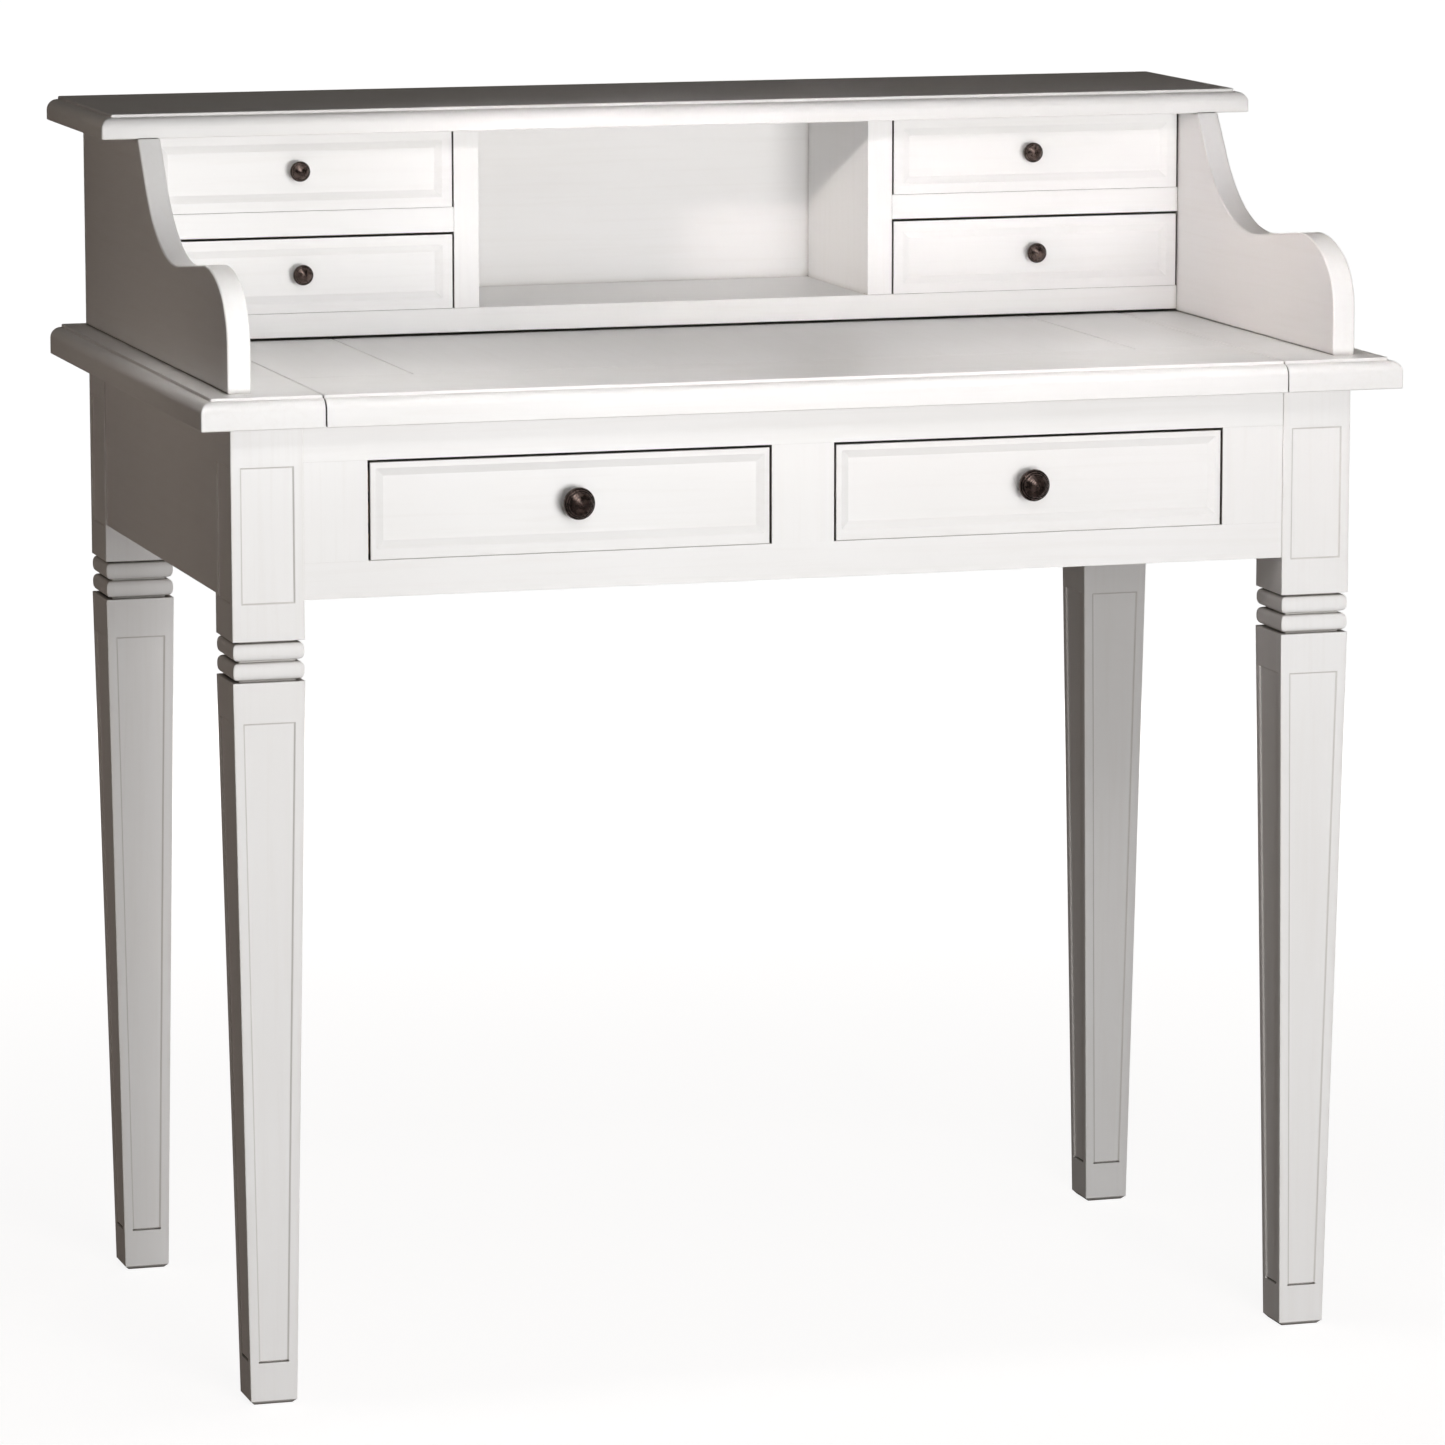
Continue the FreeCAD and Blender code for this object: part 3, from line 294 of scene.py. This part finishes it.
def eased(node, width, material, turn=24):
    """A plain board of the frame: its loose faces are joined, its arrises softened, its finish put on."""
    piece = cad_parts[node]
    joined = piece.modifiers.new("Joined", "WELD")
    joined.merge_threshold = 1e-5
    flat = piece.modifiers.new("Flat_faces", "DECIMATE")
    flat.decimate_type = "DISSOLVE"
    flat.angle_limit = math.radians(0.6)
    soft = piece.modifiers.new("Soft_arris", "BEVEL")
    soft.width = width * MM
    soft.segments = 2
    soft.limit_method = "ANGLE"
    soft.angle_limit = math.radians(turn)
    for held in piece.material_slots:
        held.link = "OBJECT"
        held.material = material


FRAME_EASE = 0.15
for board_node, along in {"front_top_rail": "x", "front_bottom_rail": "x", "back_apron": "x",
                          "left_apron": "y", "right_apron": "y", "front_left_stile": "z",
                          "front_centre_stile": "z", "front_right_stile": "z"}.items():
    eased(board_node, FRAME_EASE, PAINT_ALONG[along])

# ---------------------------------------------------------------- runners and kickers
# Unpainted softwood strips inside the carcase: the drawers slide on the runners and the kickers keep them
# level. They are planed, screwed to the frame from inside, and left bare.
WOOD = (0.70, 0.53, 0.35, 1)
WOOD_LATE = (0.50, 0.33, 0.19, 1)
STRIP_EASE = 0.4


def bare_wood(name, along):
    """Planed softwood: growth bands drawn out along the board, wandering slowly, and fine pores."""
    made, tree, shader = fresh_material(name)
    place = add_node(tree, "TexCoord").outputs["Object"]
    bands = add_node(tree, "TexNoise", {"Vector": drawn_out(tree, place, along, 0.9, 22), "Scale": 2.2,
                                        "Detail": 5, "Distortion": 0.6}).outputs["Fac"]
    pores = add_node(tree, "TexNoise", {"Vector": drawn_out(tree, place, along, 36, 880), "Scale": 1,
                                        "Detail": 2}).outputs["Fac"]
    tone = tinted(tree, remap(tree, bands, 0.4, 0.62, 0, 0.8), WOOD, WOOD_LATE)
    tone = tinted(tree, remap(tree, pores, 0.55, 0.75, 0, 0.35), tone, WOOD_LATE)
    tree.links.new(tone, shader.inputs["Base Color"])
    tree.links.new(remap(tree, bands, 0.3, 0.7, 0.55, 0.7), shader.inputs["Roughness"])
    lift = add_node(tree, "Bump", {"Height": pores, "Strength": 0.4, "Distance": 0.0001}).outputs["Normal"]
    tree.links.new(lift, shader.inputs["Normal"])
    return made


WOOD_ALONG = {along: bare_wood("bare_wood_" + along, along) for along in "xy"}
for strip_node in ("left_runner", "centre_runner", "right_runner", "side_kickers", "centre_kicker"):
    eased(strip_node, STRIP_EASE, WOOD_ALONG["y"])

# ---------------------------------------------------------------- desk top
# The writing surface is boarded: a wide board along the front, one across each end, and three between them.
# The outer boards are moulded with an ovolo under a small fillet, and the joints show as fine lines.
TOP_UNDER = 758.0
TOP_THICK = 24.0
TOP_SPREAD = 480.0
TOP_FRONT, TOP_BACK = -278.5, 278.5
END_SEAM = 384.0
SEAM_GAP = 0.8
FIELD_FRONT = -157.0
OVOLO = 8.5
QUIRK = 1.0
FILLET = 2.5
UNDER_EASE, SEAM_EASE = 0.7, 0.8
TOP_CORNER, SEAM_CORNER = 1.6, 0.4


def board_rings(x, y, height, set_in, corner):
    """A flat board as rings, one at each height: a rectangle with its sides set in and rounded corners.

    set_in has one column for each side, in the order left, right, front, back. The second parameter runs
    round the rectangle from its front left corner, through a quarter-turn arc at each corner.
    """
    swing = np.radians(np.linspace(0, 90, 4))
    centre_x = np.stack([x[0] + set_in[:, 0] + corner, x[1] - set_in[:, 1] - corner], axis=1)
    centre_y = np.stack([y[0] + set_in[:, 2] + corner, y[1] - set_in[:, 3] - corner], axis=1)
    ring_x, ring_y = [], []
    for quarter, (end, side) in enumerate(((0, 0), (1, 0), (1, 1), (0, 1))):
        turned = swing + math.pi + quarter * math.pi / 2
        ring_x.append(centre_x[:, end, None] + corner * np.cos(turned))
        ring_y.append(centre_y[:, side, None] + corner * np.sin(turned))
    ring_x, ring_y = np.concatenate(ring_x, axis=1), np.concatenate(ring_y, axis=1)
    return np.stack([ring_x, ring_y, np.broadcast_to(height[:, None], ring_x.shape)], axis=-1)


def moulded_profile(thick):
    """Heights up the board's edge, and how far a moulded side and a plain side are set in at each.

    The moulded side rises straight, turns in through a quarter circle, steps in by the quirk, and ends in a
    low upright fillet. Both have their lower and upper arrises taken off.
    """
    swing = np.radians(np.linspace(0, 90, 11))
    spring = thick - FILLET - OVOLO
    shoulder = OVOLO + QUIRK
    fillet = np.array([(-FILLET, -0.15), (0.2 - FILLET, 0), (-0.7, 0), (-0.2, 0.25), (0, 0.8)])
    rise = np.concatenate([[0, UNDER_EASE, spring * 0.5], spring + OVOLO * np.sin(swing),
                           thick + fillet[:, 0]])
    moulded = np.concatenate([[UNDER_EASE, 0, 0], OVOLO * (1 - np.cos(swing)), shoulder + fillet[:, 1]])
    plain = np.interp(rise, [0, SEAM_EASE, thick - SEAM_EASE, thick], [SEAM_EASE, 0, 0, SEAM_EASE])
    rubbed = np.interp(rise, [0, 2, thick - 5, thick - FILLET - 0.5, thick - FILLET, thick - 0.8, thick],
                       [0.8, 0, 0, 0.3, 0, 1, 0.6])
    return rise, moulded, plain, rubbed


def moulded_board(name, node, x, y, under, thick, sides, along, corner):
    """A moulded board of the top or the cornice; sides names its moulded edges."""
    rise, moulded, plain, rubbed = moulded_profile(thick)
    set_in = np.stack([moulded if side in sides else plain
                       for side in ("left", "right", "front", "back")], axis=1)
    rings = board_rings(x, y, under + rise, set_in, corner)
    shell(name, rings, PAINT_ALONG[along], node, worn=rubbed[:, None])


END_REACH, FRONT_REACH = END_SEAM + SEAM_GAP / 2, END_SEAM - SEAM_GAP / 2
moulded_board("painted_top_left_end", "top_left_end", (-TOP_SPREAD, -END_REACH), (TOP_FRONT, TOP_BACK),
              TOP_UNDER, TOP_THICK, ("left", "front"), "y", TOP_CORNER)
moulded_board("painted_top_right_end", "top_right_end", (END_REACH, TOP_SPREAD), (TOP_FRONT, TOP_BACK),
              TOP_UNDER, TOP_THICK, ("right", "front"), "y", TOP_CORNER)
moulded_board("painted_top_front_board", "top_front_board", (-FRONT_REACH, FRONT_REACH),
              (TOP_FRONT, FIELD_FRONT), TOP_UNDER, TOP_THICK, ("front",), "x", SEAM_CORNER)
for board_node in ("top_left_board", "top_centre_board", "top_right_board"):
    eased(board_node, SEAM_EASE, PAINT_ALONG["y"])

# ---------------------------------------------------------------- gallery sides
# Two solid boards stand on the ends of the desk. Their front edges are sawn to a sweep that curls over low
# in front, falls a little and climbs to the cornice, then rounded with a plane and rasp and painted.
SIDE_INNER, SIDE_OUTER = 433.7, 452.0
SIDE_FOOT, SIDE_HEAD = 782.0, 948.8
SIDE_BACK, REBATE_FRONT, REBATE_WIDE = 269.0, 264.0, 7.0
SWEEP_FRONT, SWEEP_SPRING = -245.4, 816.0
NOSE, CROWN, COVE = 49.5, 92.5, 128.0
CROWN_HEIGHT, SWEEP_TOP = 871.5, 59.0
FALL, BROW = math.radians(5.8), math.radians(55)
SIDE_EASE = 1.6


def arc(centre, radius, start, end, count):
    """Points on a circle from one angle to another, in radians."""
    angle = np.linspace(start, end, count)
    return np.stack([centre[0] + radius * np.cos(angle), centre[1] + radius * np.sin(angle)], axis=1)


def sweep(back):
    """The side's outline seen along x, from its foot up the front, over the sweep and down the back.

    Straight up, a nose arc that runs into a flatter crown arc, a straight fall, a hollow cove arc and a
    straight brow up to the cornice. Each arc starts in the direction in which the run before it ends.
    """
    nose_centre = np.array([SWEEP_FRONT + NOSE, SWEEP_SPRING])
    drop = CROWN_HEIGHT - CROWN - SWEEP_SPRING
    crown_centre = nose_centre + [math.sqrt((CROWN - NOSE) ** 2 - drop ** 2), drop]
    meet = math.atan2(*(nose_centre - crown_centre)[::-1])
    fall_from = crown_centre + CROWN * np.array([math.sin(FALL), math.cos(FALL)])
    down, up = np.array([math.cos(FALL), -math.sin(FALL)]), np.array([math.cos(BROW), math.sin(BROW)])
    top = np.array([SWEEP_TOP, SIDE_HEAD])
    gap = top - fall_from
    reach = (gap[0] * up[1] - gap[1] * up[0]) / (down[0] * up[1] - down[1] * up[0])
    run_end = fall_from + down * (reach - COVE * math.tan((FALL + BROW) / 2))
    cove_centre = run_end + COVE * np.array([math.sin(FALL), math.cos(FALL)])
    lines = [[[SWEEP_FRONT, SIDE_FOOT]],
             arc(nose_centre, NOSE, math.pi, meet, 18),
             arc(crown_centre, CROWN, meet, math.pi / 2 - FALL, 26)[1:],
             arc(cove_centre, COVE, -math.pi / 2 - FALL, BROW - math.pi / 2, 36),
             [top, [back, SIDE_HEAD], [back, SIDE_FOOT]]]
    return np.concatenate([np.array(line) for line in lines])


def drawn_in(outline, amount):
    """A closed outline moved inwards along the mitre of each corner."""
    before = outline - np.roll(outline, 1, axis=0)
    after = np.roll(outline, -1, axis=0) - outline
    inwards = [np.stack([run[:, 1], -run[:, 0]], axis=1) / np.linalg.norm(run, axis=1)[:, None]
               for run in (before, after)]
    together = inwards[0] + inwards[1]
    shared = 1 + np.sum(inwards[0] * inwards[1], axis=1)
    return outline + together / shared[:, None] * amount


def side_rings(side):
    """The side's outline carried across its thickness, drawn in at both faces by a quarter round.

    The inner part of the thickness stops short at the back, which leaves the rebate.
    """
    swing = np.radians(np.linspace(0, 90, 6))
    rise, draw = SIDE_EASE * (1 - np.cos(swing)), SIDE_EASE * (1 - np.sin(swing))
    full = SIDE_OUTER - SIDE_INNER
    rebated = [(way, inwards, REBATE_FRONT) for way, inwards in zip(rise, draw)]
    plain = [(full - way, inwards, SIDE_BACK) for way, inwards in zip(rise[::-1], draw[::-1])]
    step = [(REBATE_WIDE, 0, REBATE_FRONT), (REBATE_WIDE, 0, SIDE_BACK)]
    rings, rubs = [], []
    for way, inwards, back in rebated + step + plain:
        edge = drawn_in(sweep(back), inwards)
        rings.append(np.column_stack([np.full(len(edge), side * (SIDE_INNER + way)), edge]))
        rubs.append(1.0 if 0 < inwards < SIDE_EASE else 0.0)
    return np.array(rings), np.array(rubs)[:, None]


for side, name in ((-1, "left"), (1, "right")):
    side_points, side_rub = side_rings(side)
    shell(f"painted_{name}_side_panel", side_points, PAINT_ALONG["y"], f"{name}_side_panel", worn=side_rub)

# ---------------------------------------------------------------- gallery inside
# Floor, dividers, shelves and a thin back make four drawer openings and a niche between the sides. The
# boards are housed into each other and painted in place.
GALLERY_EASE = 0.5
for board_node, along in {"gallery_floor": "x", "gallery_back": "x", "left_shelf": "x", "right_shelf": "x",
                          "left_divider": "z", "right_divider": "z"}.items():
    eased(board_node, GALLERY_EASE, PAINT_ALONG[along])

# ---------------------------------------------------------------- cornice
# One moulded board covers the gallery. It overhangs in front and at the ends like the desk top below it,
# with the same ovolo and fillet run round three sides.
CORNICE_FRONT, CORNICE_THICK = 62.0, 19.0
moulded_board("painted_cornice_board", "cornice_board", (-TOP_SPREAD, TOP_SPREAD), (CORNICE_FRONT, TOP_BACK),
              SIDE_HEAD, CORNICE_THICK, ("left", "right", "front"), "x", TOP_CORNER)

# ---------------------------------------------------------------- drawers
# Six drawers: painted fronts with a bevelled, sunk field, dovetailed to bare wood sides, with a thin bottom
# let into grooves. The two wide ones run under the desk top and the four small ones in the gallery.
WIDE_DRAWERS = ("left_drawer", "right_drawer")
SMALL_DRAWERS = ("upper_left_drawer", "upper_right_drawer", "lower_left_drawer", "lower_right_drawer")
FRONT_RIM = (4.5, 4.0, 8.5, 4.5)             # left, right, bottom, top
FRONT_BEVEL, FIELD_SINK = 6.0, 2.5
FRONT_EASE, BOX_EASE, BOTTOM_EASE = 0.5, 0.3, 0.2
FRONT_CORNER = 0.2
END_SHY = 0.4


def wide_front(name):
    """A wide drawer's front as rings from its back to its field.

    A board with eased arrises has a flat rim, broader at the bottom, then a bevel goes down to the sunk
    field. Its ends stand a hair inside the tails of the sides, which show in them.
    """
    low, high = (np.array(corner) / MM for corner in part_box(f"{name}_front"))
    back, front, ends = high[1], low[1], (low[0] + END_SHY, high[0] - END_SHY)
    depth = np.array([back, back - FRONT_EASE, front + FRONT_EASE, front, front, front + FIELD_SINK])
    rim, edge = np.array(FRONT_RIM), np.zeros(4)
    set_in = np.stack([edge + FRONT_EASE, edge, edge, edge + FRONT_EASE, rim, rim + FRONT_BEVEL])
    rings = board_rings(ends, (low[2], high[2]), depth, set_in, FRONT_CORNER)
    rubbed = np.array([0, 0, 0.6, 0.8, 0, 0])[:, None]
    shell(f"painted_{name}_front", rings[..., [0, 2, 1]], PAINT_ALONG["x"], f"{name}_front", body=name,
          worn=rubbed, crease=15)


for name in WIDE_DRAWERS + SMALL_DRAWERS:
    eased(f"{name}_bottom", BOTTOM_EASE, WOOD_ALONG["x"])
    if name in WIDE_DRAWERS:
        wide_front(name)
        eased(f"{name}_left_side", BOX_EASE, WOOD_ALONG["y"])
        eased(f"{name}_right_side", BOX_EASE, WOOD_ALONG["y"])
        eased(f"{name}_back", BOX_EASE, WOOD_ALONG["x"])
    else:
        eased(f"{name}_front", FRONT_EASE, PAINT_ALONG["x"], turn=14)
        eased(f"{name}_box", BOX_EASE, WOOD_ALONG["y"])

# ---------------------------------------------------------------- knobs
# One turned knob on each drawer, cast in brass and patinated nearly black. The head has fine turned rings
# round a low dome, and hands have rubbed its crown a little browner. A screw from inside the drawer holds it.
BRONZE = (0.035, 0.026, 0.023, 1)
BRONZE_RUBBED = (0.4, 0.3, 0.27, 1)


def patinated_bronze():
    """Dark bronze: metal all over, browner and smoother where it is rubbed, with a mottled patina."""
    made, tree, shader = fresh_material("dark_bronze")
    place = add_node(tree, "TexCoord").outputs["Object"]
    mottle = add_node(tree, "TexNoise", {"Vector": place, "Scale": 260, "Detail": 5}).outputs["Fac"]
    worn = add_node(tree, "Attribute", attribute_name="worn").outputs["Fac"]
    share = add_node(tree, "Math", {0: worn, 1: remap(tree, mottle, 0.35, 0.65, 0.25, 1)},
                     operation="MULTIPLY").outputs[0]
    tree.links.new(tinted(tree, share, BRONZE, BRONZE_RUBBED), shader.inputs["Base Color"])
    shader.inputs["Metallic"].default_value = 1.0
    tree.links.new(remap(tree, mottle, 0.3, 0.7, 0.2, 0.34), shader.inputs["Roughness"])
    lift = add_node(tree, "Bump", {"Height": mottle, "Strength": 0.3, "Distance": 0.0002}).outputs["Normal"]
    tree.links.new(lift, shader.inputs["Normal"])
    return made


KNOB_METAL = patinated_bronze()
# the section from neck to tip: share of the knob's radius, share of its reach, and how rubbed it is
KNOB_SECTION = np.array([
    (0.62, 0.00, 0.0), (0.62, 0.05, 0.2), (0.56, 0.09, 0.0), (0.46, 0.16, 0.0), (0.43, 0.26, 0.0),
    (0.46, 0.36, 0.0), (0.60, 0.44, 0.0), (0.84, 0.50, 0.0), (0.95, 0.54, 0.1), (0.99, 0.59, 0.2),
    (1.00, 0.64, 0.2), (0.985, 0.69, 0.2), (0.945, 0.735, 0.1), (0.91, 0.752, 0.0), (0.885, 0.752, 0.0),
    (0.865, 0.775, 0.5), (0.83, 0.80, 0.5), (0.79, 0.812, 0.0), (0.765, 0.815, 0.0), (0.745, 0.84, 0.5),
    (0.68, 0.876, 0.5), (0.58, 0.915, 0.5), (0.46, 0.95, 0.6), (0.33, 0.975, 0.8), (0.20, 0.991, 0.9),
    (0.09, 0.998, 1.0), (0.02, 1.0, 1.0)])
# the fine rings left by the turner on the crown, in the same shares
RING_PITCH, RING_DEPTH, RINGS_START = 0.118, 0.004, 0.8


def smooth_run(points, times):
    """A run of points made finer: each new point lies on the cubic through its four neighbours."""
    padded = np.concatenate([2 * points[:1] - points[1:2], points, 2 * points[-1:] - points[-2:-1]])
    before, start, end, after = padded[:-3], padded[1:-2], padded[2:-1], padded[3:]
    way = np.arange(times)[None, :, None] / times
    before, start, end, after = (part[:, None, :] for part in (before, start, end, after))
    cubic = (2 * start + (end - before) * way + (2 * before - 5 * start + 4 * end - after) * way ** 2
             + (3 * start - before - 3 * end + after) * way ** 3) / 2
    return np.concatenate([cubic.reshape(-1, points.shape[1]), points[-1:]])


def knob_rings(node):
    """The knob's section turned round its axis, standing out from its drawer front.

    A cosine of the radius ripples the crown with the turner's rings.
    """
    low, high = (np.array(corner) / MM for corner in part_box(node))
    middle, radius, reach = (low + high) / 2, (high[0] - low[0]) / 2, high[1] - low[1]
    run = smooth_run(KNOB_SECTION, 7)
    crown = np.clip((run[:, 1] - RINGS_START) / 0.04, 0, 1)
    run[:, 1] -= crown * RING_DEPTH * (1 - np.cos(2 * math.pi * run[:, 0] / RING_PITCH))
    angle = np.linspace(0, 2 * math.pi, 64, endpoint=False)
    out = run[:, :1] * radius
    forward = np.broadcast_to(high[1] - run[:, 1:2] * reach, (len(run), len(angle)))
    rings = np.stack([middle[0] + out * np.cos(angle), forward, middle[2] + out * np.sin(angle)], axis=-1)
    return rings, np.clip(run[:, 2:3], 0, 1)


for name in WIDE_DRAWERS + SMALL_DRAWERS:
    knob_points, knob_rub = knob_rings(f"{name}_knob")
    shell(f"{name}_turned_knob", knob_points, KNOB_METAL, f"{name}_knob", body=name,
          worn=knob_rub, crease=50)

# ---------------------------------------------------------------- floor
# A wide pale studio floor. What the camera sees of it runs out to plain white, and the desk's own shadow
# stays on it close to the feet.
FLOOR_REACH = 45.0
WHITE = (1, 1, 1, 1)
FLOOR_PALE, FLOOR_DULL = (0.23, 0.211, 0.203, 1), (0.21, 0.193, 0.186, 1)


def studio_floor():
    """A matt pale floor, lifted to white for the eye, less so close to the desk."""
    made, tree, shader = fresh_material("pale_floor")
    place = add_node(tree, "TexCoord").outputs["Object"]
    away = add_node(tree, "VectorMath", {0: place}, operation="LENGTH").outputs["Value"]
    dust = add_node(tree, "TexNoise", {"Vector": place, "Scale": 3, "Detail": 2}).outputs["Fac"]
    tree.links.new(tinted(tree, dust, FLOOR_PALE, FLOOR_DULL), shader.inputs["Base Color"])
    shader.inputs["Roughness"].default_value = 0.9
    shader.inputs["Specular IOR Level"].default_value = 0.1
    ray = add_node(tree, "LightPath").outputs
    glow = add_node(tree, "Math", {0: ray["Is Camera Ray"], 1: remap(tree, away, 0.7, 2.6, 0.9, 1.0)},
                    operation="MULTIPLY").outputs[0]
    tree.links.new(glow, shader.inputs["Emission Strength"])
    shader.inputs["Emission Color"].default_value = WHITE
    return made


floor_mesh = bpy.data.meshes.new("studio_floor")
floor_mesh.from_pydata([(-FLOOR_REACH, -FLOOR_REACH, 0), (FLOOR_REACH, -FLOOR_REACH, 0),
                        (FLOOR_REACH, FLOOR_REACH, 0), (-FLOOR_REACH, FLOOR_REACH, 0)], [], [(0, 1, 2, 3)])
floor_mesh.materials.append(studio_floor())
floor = bpy.data.objects.new("studio_floor", floor_mesh)
bpy.context.scene.collection.objects.link(floor)

# ---------------------------------------------------------------- light and camera
# Two broad soft lamps low in front, gridded ones above for the top and the gallery, weak warm ones from the
# left, one behind for the back, and a dim warm room. The gleam lamp lights nothing, and is only mirrored in
# the satin paint and the knobs. The camera stands to the left, above the cornice, with a long lens.
NEUTRAL, SOFT_WARM = (1.0, 1.0, 1.0), (1.0, 0.975, 0.955)
ROOM_AIR = (0.06, 0.053, 0.047, 1)


def soft_lamp(name, place, aim, size, watts, colour, fan):
    """An oblong lamp at a place, turned to a point; its grid lets out a fan of so many degrees."""
    lamp = bpy.data.lights.new(name, "AREA")
    lamp.shape = "RECTANGLE"
    lamp.size, lamp.size_y = size
    lamp.energy = watts
    lamp.color = colour
    lamp.spread = math.radians(fan)
    stand = bpy.data.objects.new(name, lamp)
    bpy.context.scene.collection.objects.link(stand)
    place, aim = np.array(place), np.array(aim)
    away = place - aim
    across = np.cross((0, 0, 1), away)
    across = across / np.linalg.norm(across)
    away = away / np.linalg.norm(away)
    turn = np.eye(4)
    turn[:3, 0], turn[:3, 1], turn[:3, 2], turn[:3, 3] = across, np.cross(away, across), away, place
    stand.matrix_world = Matrix(turn.tolist())
    stand.visible_camera = False
    return stand


# each lamp: place, aim, width and height, watts, colour, and the fan that its grid lets out
for name, place, aim, size, watts, colour, fan in (
        ("key_lamp", (-0.3, -2.2, 1.9), (0, -0.1, 0.95), (0.8, 0.5), 0.86, NEUTRAL, 50),
        ("near_front_lamp", (0.12, -2.7, 0.7), (0.05, 0, 0.55), (1.4, 1.0), 37, NEUTRAL, 180),
        ("far_front_lamp", (0.4, -4.5, 0.5), (0.05, 0, 0.5), (1.6, 1.2), 52.5, NEUTRAL, 180),
        ("gleam_lamp", (-1.3, -2.6, 2.9), (0, -0.2, 0.8), (1.2, 1.0), 26, (1.0, 0.98, 0.95), 180),
        ("top_lamp", (0, -0.3, 1.9), (0, -0.29, 0.78), (0.9, 0.12), 0.42, SOFT_WARM, 46),
        ("top_left_lamp", (-0.34, -0.2, 1.9), (-0.34, -0.19, 0.78), (0.25, 0.12), 0.11, SOFT_WARM, 26),
        ("top_right_lamp", (0.34, -0.2, 1.9), (0.34, -0.19, 0.78), (0.25, 0.12), 0.11, SOFT_WARM, 26),
        ("gallery_lamp", (-0.12, -0.9, 1.05), (-0.12, 0.0, 0.775), (0.95, 0.05), 0.095, NEUTRAL, 20),
        ("inside_lamp", (-1.5, -0.9, 1.35), (0.43, -0.1, 0.88), (0.15, 0.15), 0.21, (1.0, 0.87, 0.85), 20),
        ("niche_lamp", (-1.5, -0.9, 1.35), (0.1, 0.15, 0.86), (0.1, 0.1), 0.066, (1.0, 0.92, 0.89), 11),
        ("side_lamp", (-2.6, 0.1, 1.0), (-0.45, 0.0, 0.86), (0.5, 0.5), 0.058, (1.0, 0.86, 0.74), 18),
        ("wide_side_lamp", (-1.35, 0.05, 0.45), (-0.4, 0.02, 0.42), (0.5, 0.9), 1.0, (1.0, 0.84, 0.73), 180),
        ("back_lamp", (0.8, 3.0, 0.5), (0, 0.2, 0.5), (1.4, 0.6), 30, (1.0, 0.96, 0.92), 180)):
    stand = soft_lamp(name, place, aim, size, watts, colour, fan)
    stand.visible_glossy = name in ("key_lamp", "gleam_lamp")
    stand.visible_diffuse = name != "gleam_lamp"

world = bpy.data.worlds.new("studio")
bpy.context.scene.world = world
world.use_nodes = True
air = world.node_tree
up = add_node(air, "SeparateXYZ", {"Vector": add_node(air, "TexCoord").outputs["Generated"]}).outputs["Z"]
ray = add_node(air, "LightPath").outputs
haze = add_node(air, "Math", {0: ray["Is Camera Ray"], 1: remap(air, up, 0.005, 0.09, 1, 0)},
                operation="MULTIPLY").outputs[0]
air.links.new(tinted(air, haze, ROOM_AIR, WHITE), air.nodes["Background"].inputs["Color"])

CAMERA_PLACE = (-1.6233732, -5.3695293, 1.3956760)
CAMERA_YAW, CAMERA_PITCH, CAMERA_ROLL = 0.2951874, 0.1629909, 0.0005264
FOCAL_PIXELS, FRAME_PIXELS, SENSOR = 7060.85, 1445, 36.0
camera = bpy.data.cameras.new("camera")
camera.sensor_width = SENSOR
camera.lens = FOCAL_PIXELS / FRAME_PIXELS * SENSOR
camera.clip_end = 200
tripod = bpy.data.objects.new("camera", camera)
bpy.context.scene.collection.objects.link(tripod)
tripod.location = CAMERA_PLACE
tripod.rotation_euler = (math.pi / 2 - CAMERA_PITCH, CAMERA_ROLL, -CAMERA_YAW)
bpy.context.scene.camera = tripod
bpy.context.scene.view_settings.view_transform = "Standard"
